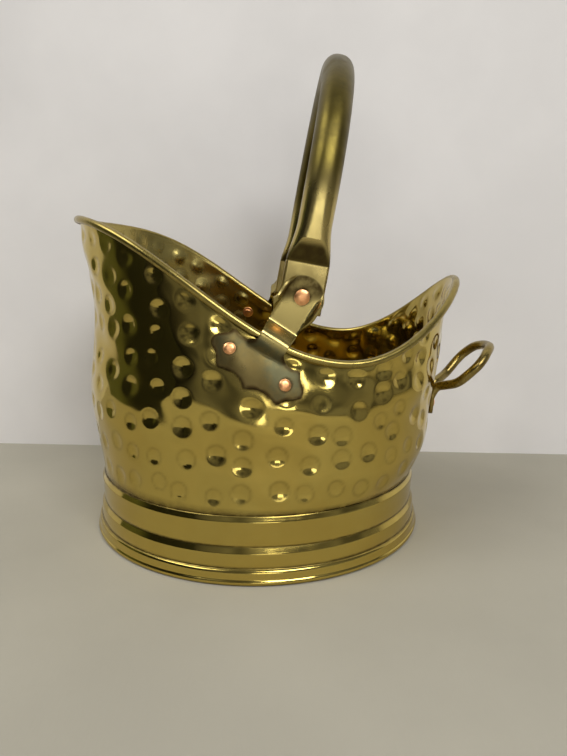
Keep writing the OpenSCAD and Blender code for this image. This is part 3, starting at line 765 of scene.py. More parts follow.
def ear_piece(name, side, node, material):
    """One ear of sheet brass: the nets of its plate and of its strap, laid on the wall and over
    the rim, joined along the neck, and given the sheet's thickness."""
    ear = Ear(side)
    spots, corners, dirt_and_shade, worn, done = [], [], [], [], 0
    for net in (plate_net(ear), strap_net(ear)):
        flat = net.reshape(-1, 2)
        # painted shade on the ear, kept with the grime_and_shade values
        dirt_and_shade.append(ear_shade(ear, flat))
        worn.append(smooth(flat[:, 1], -ear.drop - 3 * MM, -ear.drop + 2 * MM))
        index = done + np.arange(len(flat)).reshape(net.shape[:2])
        corners.append(np.stack([index[:-1, :-1], index[:-1, 1:], index[1:, 1:], index[1:, :-1]],
                                axis=-1).reshape(-1, 4))
        spots.append(ear.inner_face(*flat.T))
        done += len(flat)
    spots, corners, dirt_and_shade, worn = (np.concatenate(x) for x in (spots, corners, dirt_and_shade, worn))
    same = 0.02 * MM
    _, first, back = np.unique(np.round(spots / same).astype(np.int64), axis=0,
                               return_index=True, return_inverse=True)
    corners = back.reshape(-1)[corners][:, ::-side]
    repeated = corners == np.roll(corners, -1, axis=1)
    obj = mesh_piece(name, spots[first], corners[~repeated], 4 - repeated.sum(axis=1), material,
                     "scuttle", [node], {"grime_and_shade": dirt_and_shade[first], "second": worn[first]})
    sheet = obj.modifiers.new("Sheet", "SOLIDIFY")
    sheet.thickness = sizes("ears").sheet
    sheet.offset = 1
    sheet.use_even_offset = True
    bevel = obj.modifiers.new("Cut edge", "BEVEL")
    bevel.width = 0.35 * MM
    bevel.segments = 2
    bevel.limit_method = "ANGLE"
    bevel.angle_limit = math.radians(45)


# ---- bail -----------------------------------------------------------------------------------


def bail_surface():
    """The bail's tube: a ring carried up one leg, round half a circle and down the other. A ring
    is half_width cos q across and radius sin q through. A soft clamp presses it to the flat's
    half thickness, then to 0.76 radius where the pressed arch ends, and lets it out to the whole
    tube over the taper. With its points come their grime_and_shade values, painted shade in the
    fold and the pressed scoop and stains on the flat end, and how bright they are rubbed."""
    b = sizes("bail")
    above, leg = b.end_above, b.rise - b.half_width
    heights = np.concatenate([
        np.linspace(-b.end_below, above - 2 * MM, 12),
        np.linspace(above - 1 * MM, above + b.blend + 4 * MM, 61),
        np.linspace(above + b.blend + 6 * MM, leg - 0.1 * MM, 4)])
    q = np.linspace(0, np.pi, 97)
    centre = np.concatenate([
        stack(0, -b.half_width, heights),
        stack(0, -b.half_width * np.cos(q), leg + b.half_width * np.sin(q)),
        stack(0, b.half_width, heights[::-1])])
    legs = 0 * heights
    through = np.concatenate([stack(0, -1, legs), stack(0, -np.cos(q), np.sin(q)),
                              stack(0, 1, legs)])[:, None]
    h = np.concatenate([heights, leg + b.half_width * np.minimum(q, np.pi - q), heights[::-1]])
    h = h[:, None]
    turn = circle(64)
    clamp = np.interp(h, above + np.array([0, b.pressed, b.taper]),
                      [b.end_half_thick, 0.76 * b.radius, 1.02 * b.radius])
    thin = b.thinner * (1 - smooth(h, above + 6 * MM, above + b.taper))
    narrow = smooth(h, above - 3 * MM, above + b.blend)

    def rings(inset):
        half_width = b.end_half_width + (b.radius - b.end_half_width) * narrow - inset
        y = pressed((b.radius - thin - inset) * np.sin(turn), clamp - inset, 16.0)
        return from_leaning(swept(centre, [1.0, 0, 0], through, half_width * np.cos(turn), y),
                            b.lean)

    under_clamp = smooth(b.radius * np.abs(np.sin(turn)) - clamp, 0, 2.5 * MM)
    under_clamp = under_clamp * (1 - smooth(h, above + 9 * MM, above + b.pressed))
    # painted shade in the fold line and in the pressed scoop above it; end stains the flat end
    fold_shade = 0.9 * bell(h - above, 0.8 * MM)
    scoop_shade = 0.95 * smooth(h, above - 0.5 * MM, above + 1.5 * MM) * under_clamp
    end = (0.28 + 0.3 * bell(h - 8 * MM, 8 * MM)) * (1 - smooth(h, above - 2 * MM, above))
    grime_and_shade = np.clip(np.maximum(fold_shade, np.maximum(scoop_shade, end)), 0, 1)
    worn = (smooth(h, above + 2 * MM, above + 12 * MM)
            * (1 - smooth(h, above + 30 * MM, above + b.taper)) * (1 - under_clamp))
    bright = np.clip(1 - smooth(h, above - 1 * MM, above) + worn, 0, 1)
    return [np.concatenate([out, back[::-1]]) for out, back in
            ((rings(0.0), rings(b.wall)), (grime_and_shade, grime_and_shade), (bright, bright))]


# ---- rear handle ----------------------------------------------------------------------------


def tab_line():
    """Angle of the tabs, and a function from height and offset to a point on the +Y tab's line."""
    angle = math.atan2(sizes("handle").tab_place, sizes("body").base_radius + 16 * MM)

    def point(z, off):
        s = share_at(angle, z)
        return wall(angle, s) + wall_normal(angle, s) * off

    return angle, point


# the loop's half: shares of its reach, half width and rise
LOOP = [[0.224, 0.5, 0.04], [0.4, 0.81, 0.175], [0.636, 1, 0.54], [0.773, 0.91, 0.755],
        [0.88, 0.66, 0.917], [0.97, 0.33, 0.99], [1, 0, 1]]


def handle_surface():
    """The rod carried along the loop, pressed flat on the tabs and rounded at their ends. A ring
    is half_width cos q across and radius sin q through, clamped softly to the tab's half
    thickness."""
    r = sizes("handle")
    angle, point = tab_line()
    off = r.tab_half_thick + TAB_SEAT
    start = np.array([point(r.rod_height, 0)[0], 0, r.rod_height])
    rivet_z = r.tab_height + r.rivet_above
    flip = np.array([1, -1, 1])
    near = [point(z, off) * flip for z in (r.tab_height, rivet_z, r.rod_height - 10 * MM)]
    near += [start + [2.2 * MM, -r.tab_place, -4 * MM],
             start + [5.5 * MM, -r.tab_place - 1 * MM, -0.6 * MM]]
    near += list(start + np.array(LOOP) * [r.loop_reach, -r.loop_half_width, r.loop_rise])
    points = np.array(near + [p * flip for p in near[-2::-1]])
    path = at_shares(curve(points, 12), np.linspace(0, 1, 300))
    run = unit(np.gradient(path, axis=0))
    rod = np.where(path[:, 0] > start[0] + 5 * MM, 1.0,
                   smooth(path[:, 2], r.rod_height - 10 * MM, r.rod_height - 2 * MM))[:, None]
    loop_normal = unit(np.array([-r.loop_rise, 0, r.loop_reach]))
    tab = wall_normal(angle, share_at(angle, rivet_z))
    steer = loop_normal * rod - stack(tab[0], np.sign(path[:, 1]) * tab[1], 0) * (1 - rod)
    across = unit(np.cross(run, steer))
    through = np.cross(run, across)
    gone = path_length(path)[:, None]
    gone = np.minimum(gone, gone[::-1]) + 0.15 * MM
    tip = np.sqrt(1 - (1 - np.clip(gone / r.tab_half_width, 0, 1)) ** 2)
    half_width = (r.tab_half_width + (r.rod - r.tab_half_width) * rod) * tip
    clamp = r.tab_half_thick + (r.rod * 1.3 - r.tab_half_thick) * rod
    turn = circle(32)
    return swept(path, across[:, None], through[:, None], half_width * np.cos(turn),
                 pressed(r.rod * np.sin(turn), clamp, 12.0))


# ---- rivets and burrs -----------------------------------------------------------------------


def placed(points, spot, way):
    """Points about Z carried to spot with Z along way."""
    way = unit(way)
    side = unit(np.cross([0, 0, 1.0] if abs(way[2]) < 0.9 else [1.0, 0, 0], way))
    return spot + points @ np.stack([side, np.cross(way, side), way])


def rivet_surface(shank, head, rise, low, high, seed):
    """One set rivet about Z: a flattened head, its shank and the peened tail. The head's height is
    rise (1 - (r / head)^3.5), which a few hammer blows have left uneven."""
    tail = low - sizes("rivets").burr_thick
    q = np.linspace(0.06, 1, 15)
    dome = np.stack([head * q, high + rise * (0.12 + 0.88 * (1 - q ** 3.5))], axis=1)
    profile = np.concatenate([dome, [
        [head * 1.02, high + 0.1 * rise], [head * 0.99, high], [shank, high], [shank, tail],
        [shank + 0.9 * MM, tail - 0.02 * MM], [shank + 0.8 * MM, tail - 0.45 * MM],
        [shank * 0.8, tail - 0.8 * MM], [0.3 * MM, tail - 0.9 * MM]]])
    a = circle(44)[None]
    r, z = profile[:, :1], profile[:, 1:]
    edge = 1 + 0.022 * np.sin(2 * a + seed) + 0.014 * np.sin(5 * a + 2.1 * seed)
    reach = r * np.where(z > high - 1e-6, edge, 1)
    blows = sum(np.clip(reach * np.cos(a - t) / head - 0.45, 0, 1) * 0.10
                for t in (seed, seed + 2.2, seed + 4.4))
    z = z - np.where(z > high + 0.1 * rise, blows * rise, 0)
    return stack(reach * np.cos(a), reach * np.sin(a), z)


def burr_surface(shank, low):
    """One washer about Z, with its edges rounded."""
    r, soft = sizes("rivets"), 0.2 * MM
    bottom, inner, outer = low - r.burr_thick, shank + FIT, r.burr
    return revolve(np.array([
        [inner, bottom], [outer - soft, bottom], [outer, bottom + soft], [outer, low - soft],
        [outer - soft, low], [inner, low]]), 40)


def ear_rivet_places(side):
    """Spots on the wall and outward ways of the two rivets of an ear."""
    e, b = sizes("ears"), sizes("body")
    places = []
    for k in (-1, 1):
        p = from_leaning(np.array([k * e.rivet_pitch / 2, side * b.mouth_half,
                                   -Ear(side).plate_drop]), e.lean)
        a = halve(lambda t: wall(t, share_at(t, p[2]))[0] < p[0],
                  math.pi, 2 * math.pi if side == NEAR else 0.0)
        s = share_at(a, p[2])
        places.append((wall(a, s), wall_normal(a, s)))
    return places


def tab_rivet_places():
    """Spots and ways of the two rivets of the rear handle."""
    angle, point = tab_line()
    z = sizes("handle").tab_height + sizes("handle").rivet_above
    way = wall_normal(angle, share_at(angle, z))
    return [(point(z, 0) * [1, k, 1], way * [1, k, 1]) for k in (NEAR, FAR)]


def rivet_pieces(name, ending, places, size, low, high, seeds):
    """The rivets at some places as one piece, and the burrs under their tails as another. size is
    the shank's radius, the head's radius and its height; ending makes the names plural."""
    heads = [(placed(rivet_surface(*size, low, high, seed), *place), False)
             for seed, place in zip(seeds, places)]
    burrs = [(placed(burr_surface(size[0], low), *place), True) for place in places]
    for kind, parts in (("rivet" + ending, heads), ("burr" + ending, burrs)):
        piece(f"{name}_copper_{kind}", parts, finish("Rivet copper"), "scuttle",
              [f"{name}_{kind}"])


# ---- finishes -------------------------------------------------------------------------------


class Nodes:
    """Short ways to add nodes to one tree. All but put and add give back an output socket."""

    def __init__(self, tree):
        self.tree = tree

    def put(self, socket, value):
        """Links a socket to an input, or sets a plain value, with alpha 1 added to a colour."""
        if isinstance(value, bpy.types.NodeSocket):
            self.tree.links.new(value, socket)
        else:
            socket.default_value = (*value[:3], 1) if socket.type == "RGBA" else value

    def add(self, kind, **values):
        """A shader node. Underscored names set inputs by label or number, others its settings."""
        node = self.tree.nodes.new("ShaderNode" + kind)
        for key, value in values.items():
            label = key[1:].replace("_", " ")
            if key[0] == "_":
                self.put(node.inputs[int(label) if label.isdigit() else label], value)
            else:
                setattr(node, key, value)
        return node

    def maths(self, operation, a, b, clamp=False):
        return self.add("Math", operation=operation, use_clamp=clamp, _0=a, _1=b).outputs[0]

    def times(self, a, b, clamp=False):
        return self.maths("MULTIPLY", a, b, clamp)

    def plus(self, a, b, clamp=False):
        return self.maths("ADD", a, b, clamp)

    def mix(self, factor, a, b):
        """Two colours mixed, by the colour sockets' numbers."""
        return self.add("Mix", data_type="RGBA", _0=factor, _6=a, _7=b).outputs[2]

    def ramp(self, factor, low, high, to_low=0.0, to_high=1.0):
        """A value between low and high mapped smoothly to between to_low and to_high."""
        return self.add("MapRange", interpolation_type="SMOOTHSTEP", _0=factor, _1=low, _2=high,
                        _3=to_low, _4=to_high).outputs[0]

    def noise(self, where, scale, detail, **more):
        return self.add("TexNoise", _Vector=where, _Scale=scale, _Detail=detail, **more).outputs[0]

    def drawn(self, where, scale, turn=(0, 0, 0)):
        return self.add("Mapping", _Vector=where, _Scale=scale, _Rotation=turn).outputs[0]

    def attribute(self, name):
        return self.add("Attribute", attribute_name=name).outputs["Fac"]

    def bump(self, height, distance, strength):
        return self.add("Bump", _Height=height, _Distance=distance, _Strength=strength).outputs[0]

    def where(self, kind="Object"):
        return self.add("TexCoord").outputs[kind]

    def mixed_shader(self, factor, a, b):
        return self.add("MixShader", _0=factor, _1=a, _2=b).outputs[0]


def group(name, inputs, outputs):
    """A new node group: its nodes, its inputs and its output node. A default that is missing,
    a number or a colour makes a vector, a value or a colour input."""
    tree = bpy.data.node_groups.new(name, "ShaderNodeTree")
    for label, default in inputs.items():
        kind = "Vector" if default is None else "Float" if isinstance(default, float) else "Color"
        socket = tree.interface.new_socket(name=label, in_out="INPUT",
                                           socket_type="NodeSocket" + kind)
        if default is not None:
            socket.default_value = default
    for label, kind in outputs.items():
        tree.interface.new_socket(name=label, in_out="OUTPUT", socket_type="NodeSocket" + kind)
    given = tree.nodes.new("NodeGroupInput").outputs
    return Nodes(tree), given, tree.nodes.new("NodeGroupOutput").inputs


def tarnish_group(name):
    """Clouds of tarnish: two noises of different size added together, their edges drawn in by a
    smooth ramp.
    """
    n, given, result = group(
        name, {"Where": None, "Scale": 20.0, "Amount": 0.5, "Clean": (1, 1, 1, 1),
               "Tarnished": (0.5, 0.4, 0.2, 1)}, {"Colour": "Color", "Mask": "Float"})
    broad = n.noise(given["Where"], given["Scale"], 5.0, _Distortion=0.6)
    fine = n.noise(given["Where"], n.times(given["Scale"], 7.3), 6.0, _Roughness=0.65)
    both = n.plus(broad, n.times(fine, 0.45))
    mask = n.times(n.ramp(both, 0.58, 0.92), given["Amount"], clamp=True)
    n.put(result["Mask"], mask)
    n.put(result["Colour"], n.mix(mask, given["Clean"], given["Tarnished"]))


def scratch_group(name):
    """Fine scratches from polishing: three noises drawn out long, cut to thin lines, in patches."""
    n, given, result = group(name, {"Where": None, "Scale": 300.0},
                             {"Height": "Float", "Mask": "Float"})
    a, b, c = (n.ramp(n.noise(n.drawn(given["Where"], draw, turn), given["Scale"], 2.0), 0.62, 0.72)
               for turn, draw in (((0.3, 0.5, 0.6), (1, 1, 0.04)), ((1.2, -0.4, 0.2), (0.05, 1, 1)),
                                  ((0.2, 1.1, 1.4), (1, 0.06, 1))))
    total = n.maths("MAXIMUM", a, n.maths("MAXIMUM", b, c))
    total = n.times(total, n.ramp(n.noise(given["Where"], 22.0, 2.0), 0.4, 0.62))
    n.put(result["Mask"], total)
    n.put(result["Height"], n.maths("SUBTRACT", 1.0, total))


def smudge_group(name):
    """Smudges and wiped grime: a roughness that wanders between two values."""
    n, given, result = group(name, {"Where": None, "Scale": 30.0, "Clear": 0.1, "Smeared": 0.3},
                             {"Roughness": "Float"})
    mask = n.ramp(n.noise(n.drawn(given["Where"], (1, 1, 0.55), (0, 0.4, 0)), given["Scale"], 8.0,
                          _Roughness=0.6, _Distortion=0.4), 0.38, 0.72)
    span = n.maths("SUBTRACT", given["Smeared"], given["Clear"])
    n.put(result["Roughness"], n.plus(given["Clear"], n.times(mask, span)))


SHARED = {"Tarnish clouds": tarnish_group, "Polishing scratches": scratch_group,
          "Smudges": smudge_group}


def new_material(name):
    """An empty material and its nodes."""
    material = bpy.data.materials.new(name)
    material.use_nodes = True
    material.node_tree.nodes.clear()
    return material, Nodes(material.node_tree)


def metal(name, clean, tarnished, amount, cloud, clear, smeared, lines=0.0, scratch=0.06,
          grime_and_shade=None, scratch_scale=420.0, dark=0.8, streak=None, second=None, dulled=0.3):
    """A metal finish. Its colour comes from tarnish clouds, from the piece's own grime_and_shade
    attribute, which holds dirt and painted shade, and from its second colour attribute, and
    its roughness from smudges and the same two. Its relief comes from scratches, from hairs
    drawn out by streak and, if lines is above 0, from the fine rings that spinning leaves at
    each height."""
    material, n = new_material(name)
    where = n.where()

    def effect(key, **values):
        if key not in bpy.data.node_groups:
            SHARED[key](key)
        return n.add("Group", node_tree=bpy.data.node_groups[key], _Where=where, **values).outputs

    clouds = effect("Tarnish clouds", _Scale=cloud, _Amount=amount, _Clean=clean,
                    _Tarnished=tarnished)
    base = clouds["Colour"]
    rough = effect("Smudges", _Scale=cloud * 1.7, _Clear=clear, _Smeared=smeared)["Roughness"]
    rough = n.plus(rough, n.times(clouds["Mask"], 0.05))
    if second is not None:
        place = n.attribute("second")
        base = n.mix(place, base, second)
        rough = n.plus(rough, n.times(place, dulled))
    # the grime_and_shade colour: dirt, and painted shade where the attribute marks corners and gaps
    if grime_and_shade is not None:
        broken = n.ramp(n.noise(where, 160.0, 4.0), 0.25, 0.6, 0.55, 1.0)
        dirt_and_shade = n.times(n.times(n.attribute("grime_and_shade"), broken), dark, clamp=True)
        base = n.mix(dirt_and_shade, base, grime_and_shade)
        rough = n.plus(rough, n.times(dirt_and_shade, 0.3))
    height = n.times(effect("Polishing scratches", _Scale=scratch_scale)["Height"], scratch)
    if streak is not None:
        height = n.plus(height, n.times(n.noise(n.drawn(where, streak), 900.0, 3.0), 0.22))
    if lines:
        level = n.add("SeparateXYZ", _0=where).outputs[2]
        rings = n.add("TexNoise", noise_dimensions="1D", _W=level, _Scale=2600.0, _Detail=3.0)
        height = n.plus(height, n.times(rings.outputs[0], lines))
    shader = n.add("BsdfPrincipled", _Base_Color=base, _Roughness=n.plus(rough, 0.0, clamp=True),
                   _Metallic=1.0, _Normal=n.bump(height, 0.0001, 0.5))
    n.add("OutputMaterial", _0=shader.outputs[0])
    return material


def finish(name):
    """One of the object's finishes, made when it is first asked for: its clean and tarnished
    colours, how much tarnish, how fine its clouds are, the roughness of clear and of smeared
    metal, and what else metal() takes."""
    if name in bpy.data.materials:
        return bpy.data.materials[name]
    f = sizes("finish")
    # dirt and painted shade share one colour
    shade_and_dirt_colours = {"grime_and_shade": f.grime_and_shade}
    *given, more = {
        "Hammered brass": (f.brass, f.deep_brass, f.tarnish, 16.0, 0.06, 0.14,
                           {"dark": 0.88, "second": f.olive_brass, **shade_and_dirt_colours}),
        "Floor brass": (f.deep_brass, f.olive_brass, 0.8, 24.0, 0.25, 0.45,
                        {"scratch": 0.2, **shade_and_dirt_colours}),
        "Spun brass": (f.brass, f.deep_brass, f.tarnish * 0.9, 18.0, 0.06, 0.15,
                       {"lines": 0.1, "dark": 0.9, **shade_and_dirt_colours}),
        "Satin ear brass": (f.ear_brass, f.ear_tarnish, 0.9, 34.0, 0.2, 0.3,
                            {"scratch": 0.1, "streak": (1, 1, 0.08), "dark": 1.0,
                             "second": f.ear_bright, "dulled": -0.04, **shade_and_dirt_colours}),
        "Bail brass": (f.bail_brass, f.bail_tarnish, 0.8, 40.0, 0.34, 0.46,
                       {"scratch": 0.16, "streak": (1, 1, 0.05), "second": f.bail_bright,
                        "dulled": -0.18, **shade_and_dirt_colours}),
        "Handle brass": (f.handle_brass, f.handle_tarnish, 0.85, 60.0, 0.22, 0.38, {}),
        "Rivet copper": (f.copper, f.copper_tarnish, 0.6, 180.0, 0.3, 0.45,
                         {"scratch": 0.15, "scratch_scale": 900.0}),
        "Wire steel": (f.steel, f.rust, 0.5, 120.0, 0.35, 0.5, {}),
    }[name]
    return metal(name, *given, **more)


# ---- operators ------------------------------------------------------------------------------


class SCUTTLE_OT_body(bpy.types.Operator):
    """Make the hammered body with its rolled rim"""
    bl_idname = "scuttle.body"
    bl_label = "Hammered body"

    def execute(self, context):
        rows, grime_and_shade, second = body_surface()
        piece("hammered_body", [(rows, True)], finish("Hammered brass"), "scuttle",
              ["body_shell"],
              {"grime_and_shade": grime_and_shade.reshape(-1), "second": second.reshape(-1)})
        return {"FINISHED"}


class SCUTTLE_OT_plinth(bpy.types.Operator):
    """Make the spun plinth with its rolled foot"""
    bl_idname = "scuttle.plinth"
    bl_label = "Spun plinth"

    def execute(self, context):
        profile, outer = plinth_profile()
        points = revolve(profile, 420, 0.06 * MM)
        top, z = sizes("body").base_height / MM, profile[:, 1] / MM
        # heights of the corners painted with shade and dirt, the lowest a painted contact shadow
        #         # where the foot stands on the floor, and how far it spreads, in millimetres
        corners = ((top, 0.6), (top - 20.7, 0.7), (10.9, 0.9), (0.0, 1.2))
        dark = np.max([bell(z - line, wide) for line, wide in corners], axis=0)
        dark[outer:] = 1
        piece("spun_plinth", [(points, True)], finish("Spun brass"), "scuttle",
              ["plinth"], {"grime_and_shade": np.repeat(dark, points.shape[1])})
        return {"FINISHED"}


class SCUTTLE_OT_floor_pan(bpy.types.Operator):
    """Make the floor pan inside the bucket"""
    bl_idname = "scuttle.floor_pan"
    bl_label = "Floor pan"

    def execute(self, context):
        profile = floor_profile()
        points = revolve(profile, 180)
        r, edge = profile[:, 0], 112 * MM
        # darker towards the pan's edge, and dark on the turned-down edge
        dark = np.where(r > edge, 0.9, 0.15 + 0.5 * smooth(r, 60 * MM, edge))
        piece("floor_pan_brass", [(points, False)], finish("Floor brass"), "scuttle",
              ["floor_pan"], {"grime_and_shade": np.repeat(dark, points.shape[1])})
        return {"FINISHED"}


class SCUTTLE_OT_ears(bpy.types.Operator):
    """Make the two scalloped ears"""
    bl_idname = "scuttle.ears"
    bl_label = "Ears"

    def execute(self, context):
        ear_piece("near_ear_plate", NEAR, "near_ear", finish("Satin ear brass"))
        ear_piece("far_ear_plate", FAR, "far_ear", finish("Satin ear brass"))
        return {"FINISHED"}


class SCUTTLE_OT_bail(bpy.types.Operator):
    """Make the swinging bail"""
    bl_idname = "scuttle.bail"
    bl_label = "Bail"

    def execute(self, context):
        points, grime_and_shade, bright = bail_surface()
        piece("bail_tube", [(points, True)], finish("Bail brass"), "bail", ["bail"],
              {"grime_and_shade": grime_and_shade.reshape(-1), "second": bright.reshape(-1)})
        return {"FINISHED"}


class SCUTTLE_OT_rear_handle(bpy.types.Operator):
    """Make the fixed rear handle"""
    bl_idname = "scuttle.rear_handle"
    bl_label = "Rear handle"

    def execute(self, context):
        piece("rear_handle_rod", [(handle_surface(), False)], finish("Handle brass"), "scuttle",
              ["rear_handle"])
        return {"FINISHED"}


class SCUTTLE_OT_rivets(bpy.types.Operator):
    """Make the copper rivets and their burrs"""
    bl_idname = "scuttle.rivets"
    bl_label = "Rivets"

    def execute(self, context):
        r, e, bail = sizes("rivets"), sizes("ears"), sizes("bail")
        size = (r.shank, r.head, r.head_height)
        low, on_ear = -sizes("body").sheet - 0.2 * MM, e.sheet + 2 * SEAT
        on_tab = 2 * sizes("handle").tab_half_thick + TAB_SEAT + SEAT
        for name, places, high in (
                ("near_ear", ear_rivet_places(NEAR), on_ear),
                ("far_ear", ear_rivet_places(FAR), on_ear),
                ("rear_handle", tab_rivet_places(), on_tab)):
            rivet_pieces(name, "s", places, size, low, high, (1.3, 3.3))
        size = (r.pivot_shank, r.pivot_head, r.pivot_height)
        reach = bail.end_half_thick + SIDE_PLAY
        for name, side in (("near_pivot", NEAR), ("far_pivot", FAR)):
            rivet_pieces(name, "", [(PIVOT, side * AXLE)], size, bail.half_width - reach,
                         bail.half_width + reach + e.sheet, (0.4 + side,))
        return {"FINISHED"}


class SCUTTLE_OT_wires(bpy.types.Operator):
    """Finish the steel wires inside the rolled edges"""
    bl_idname = "scuttle.wires"
    bl_label = "Wires"

    def execute(self, context):
        for name in ("rim_wire", "foot_wire"):
            mesh = frame["nodes"][name].data
            mesh.materials.clear()
            mesh.materials.append(finish("Wire steel"))
        return {"FINISHED"}


# ---- stage, light and camera ----------------------------------------------------------------


def plain(name, shade, rough, see_through=False, weave=0.0, deeper=None):
    """A stage finish: a plain colour with a faint mottle and, on the floor, a faint weave. With
    deeper, the colour turns to that one towards -Y. see_through clears it from behind."""
    material, n = new_material(name)
    where = n.where()
    mottle = n.ramp(n.noise(where, 5.0, 6.0), 0.3, 0.7)
    base = n.mix(mottle, [c * 0.94 for c in shade], [min(1, c * 1.05) for c in shade])
    if deeper:
        towards = n.add("SeparateXYZ", _0=where).outputs[1]
        base = n.mix(n.ramp(towards, -0.1, -0.3), base, deeper)
    shader = n.add("BsdfPrincipled", _Base_Color=base, _Roughness=rough, _Specular_IOR_Level=0.2)
    if weave:
        threads = n.noise(n.drawn(where, (1, 0.2, 1)), 500.0, 3.0)
        n.put(shader.inputs["Normal"], n.bump(threads, 0.0003, weave))
    result = shader.outputs[0]
    if see_through:
        clear = n.add("BsdfTransparent").outputs[0]
        result = n.mixed_shader(n.add("NewGeometry").outputs["Backfacing"], result, clear)
    n.add("OutputMaterial", _0=result)
    return material


def stage_plane(name, corners, material):
    """A flat stage piece of one face."""
    mesh = bpy.data.meshes.new(name)
    mesh.from_pydata(corners, [], [(0, 1, 2, 3)])
    mesh.materials.append(material)
    obj = bpy.data.objects.new(name, mesh)
    bpy.context.scene.collection.objects.link(obj)
    return obj


def set_at(obj, spot, right, up, back):
    """Links a lamp or camera at spot, turned so that its own axes lie along three directions."""
    turn = Matrix(np.stack([right, up, back], axis=1).tolist()).to_4x4()
    obj.matrix_world = Matrix.Translation(spot) @ turn
    bpy.context.scene.collection.objects.link(obj)


def lamp(name, spot, aim, size, watts):
    """A soft rectangular lamp at spot, turned to aim."""
    light = bpy.data.lights.new(name, "AREA")
    light.shape = "RECTANGLE"
    light.size, light.size_y = size
    light.energy = watts
    back = unit(np.subtract(spot, aim))
    side = unit(np.cross([0, 0, 1.0], back))
    set_at(bpy.data.objects.new(name, light), spot, side, np.cross(back, side), back)


def light_room(scene):
    """The room's light: brighter upwards, in soft patches, with a dark corner low on the left.
    The camera itself sees a plain backdrop."""
    g = sizes("stage")
    world = scene.world = scene.world or bpy.data.worlds.new("Room")
    world.use_nodes = True
    world.node_tree.nodes.clear()
    n = Nodes(world.node_tree)
    way = n.where("Generated")
    x, _, z = n.add("SeparateXYZ", _0=way).outputs
    left = n.times(n.ramp(x, -0.35, -0.65), n.ramp(z, 0.7, 0.45))
    patches = n.ramp(n.noise(way, 3.2, 1.0), 0.35, 0.65, 0.45, 1.5)
    level = n.times(n.times(n.ramp(z, 0.3, 0.95, 0.3, 0.5), patches),
                    n.maths("SUBTRACT", 1.0, n.times(left, 0.9)))
    light, backdrop = (n.add("Background", _Color=shade, _Strength=strength).outputs[0]
                       for shade, strength in (((1.0, 0.985, 0.95), n.times(level, g.room)),
                                               (g.wall, 0.75)))
    seen = n.add("LightPath").outputs["Is Camera Ray"]
    n.add("OutputWorld", _0=n.mixed_shader(seen, light, backdrop))


def set_camera(scene):
    """The camera at the photograph's place: turned 2.39 degrees to the left, 10.67 down, rolled
    0.42."""
    data = bpy.data.cameras.new("Camera")
    data.lens = 29.095
    data.sensor_width = 36
    data.clip_start = 0.01
    camera = scene.camera = bpy.data.objects.new("Camera", data)
    yaw, down, roll = (math.radians(x) for x in (2.39, 10.67, 0.42))
    ahead = np.array([-math.sin(yaw) * math.cos(down), math.cos(yaw) * math.cos(down),
                      -math.sin(down)])
    level = np.array([math.cos(yaw), math.sin(yaw), 0])
    upright = np.cross(level, ahead)
    set_at(camera, (0.04041, -0.48820, 0.20428),
           math.cos(roll) * level + math.sin(roll) * upright,
           -math.sin(roll) * level + math.cos(roll) * upright, -ahead)


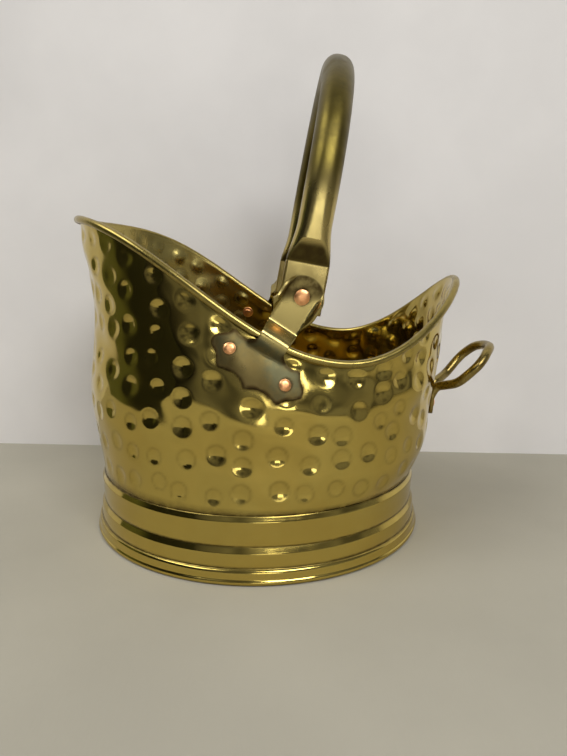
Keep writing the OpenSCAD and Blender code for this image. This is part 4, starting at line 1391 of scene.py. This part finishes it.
class SCUTTLE_OT_stage(bpy.types.Operator):
    """Set the floor, the wall, the lamps, the room's light and the camera"""
    bl_idname = "scuttle.stage"
    bl_label = "Stage and camera"

    def execute(self, context):
        g, scene = sizes("stage"), context.scene
        scene.view_settings.view_transform = "Standard"
        stage_plane("floor", [(-4, -4, 0), (4, -4, 0), (4, 4, 0), (-4, 4, 0)],
                    plain("Floor cloth", g.floor, 0.8, weave=0.3))
        y = g.wall_place
        stage_plane("wall", [(-3, y, 0), (3, y, 0), (3, y, 2), (-3, y, 2)],
                    plain("Pale wall", g.wall, 0.7, see_through=True))
        lamp("Left lamp", (-1.5, -0.9, 2.2), (0, 0, 0.1), (1.8, 1.2), 29)
        lamp("Right lamp", (0.8, -1.6, 1.6), (0, 0, 0.1), (1.1, 0.9), 29)
        lamp("Window lamp", (0.45, -2.6, 0.28), (0, 0, 0.2), (0.8, 0.4), 3)
        # a dark flag on the left, which only reflections show
        x, front, rear, top = -0.7, -0.9, 0.055, 0.62
        flag = stage_plane("flag", [(x, front, 0), (x, rear, 0), (x, rear, top), (x, front, top)],
                           plain("Dark flag", (0.15, 0.17, 0.08), 0.9, deeper=(0.02, 0.022, 0.015)))
        flag.visible_camera = flag.visible_diffuse = flag.visible_shadow = False
        light_room(scene)
        set_camera(scene)
        return {"FINISHED"}


class VIEW3D_PT_scuttle(bpy.types.Panel):
    """The scuttle's sizes, finishes and pieces"""
    bl_label = "Coal scuttle"
    bl_space_type = "VIEW_3D"
    bl_region_type = "UI"
    bl_category = "Scuttle"

    def draw(self, context):
        for operator in OPERATORS:
            self.layout.operator(operator.bl_idname)
        for key in GROUPS:
            box = self.layout.box()
            box.label(text=key.replace("scuttle_", "").capitalize())
            values = getattr(context.scene, key)
            for prop in values.bl_rna.properties:
                if prop.identifier not in ("rna_type", "name"):
                    box.prop(values, prop.identifier)


OPERATORS = [
    SCUTTLE_OT_stage, SCUTTLE_OT_body, SCUTTLE_OT_plinth, SCUTTLE_OT_floor_pan, SCUTTLE_OT_ears,
    SCUTTLE_OT_bail, SCUTTLE_OT_rear_handle, SCUTTLE_OT_rivets, SCUTTLE_OT_wires,
]


def register():
    for key, kind in GROUPS.items():
        bpy.utils.register_class(kind)
        setattr(bpy.types.Scene, key, PointerProperty(type=kind))
    for kind in OPERATORS + [VIEW3D_PT_scuttle]:
        bpy.utils.register_class(kind)


def unregister():
    for kind in [VIEW3D_PT_scuttle] + OPERATORS[::-1]:
        bpy.utils.unregister_class(kind)
    for key, kind in reversed(GROUPS.items()):
        delattr(bpy.types.Scene, key)
        bpy.utils.unregister_class(kind)


def main():
    """Registers the add-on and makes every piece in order."""
    register()
    bpy.ops.scuttle.stage()
    bpy.ops.scuttle.body()
    bpy.ops.scuttle.plinth()
    bpy.ops.scuttle.floor_pan()
    bpy.ops.scuttle.ears()
    bpy.ops.scuttle.bail()
    bpy.ops.scuttle.rear_handle()
    bpy.ops.scuttle.rivets()
    bpy.ops.scuttle.wires()


if __name__ == "__main__":
    main()
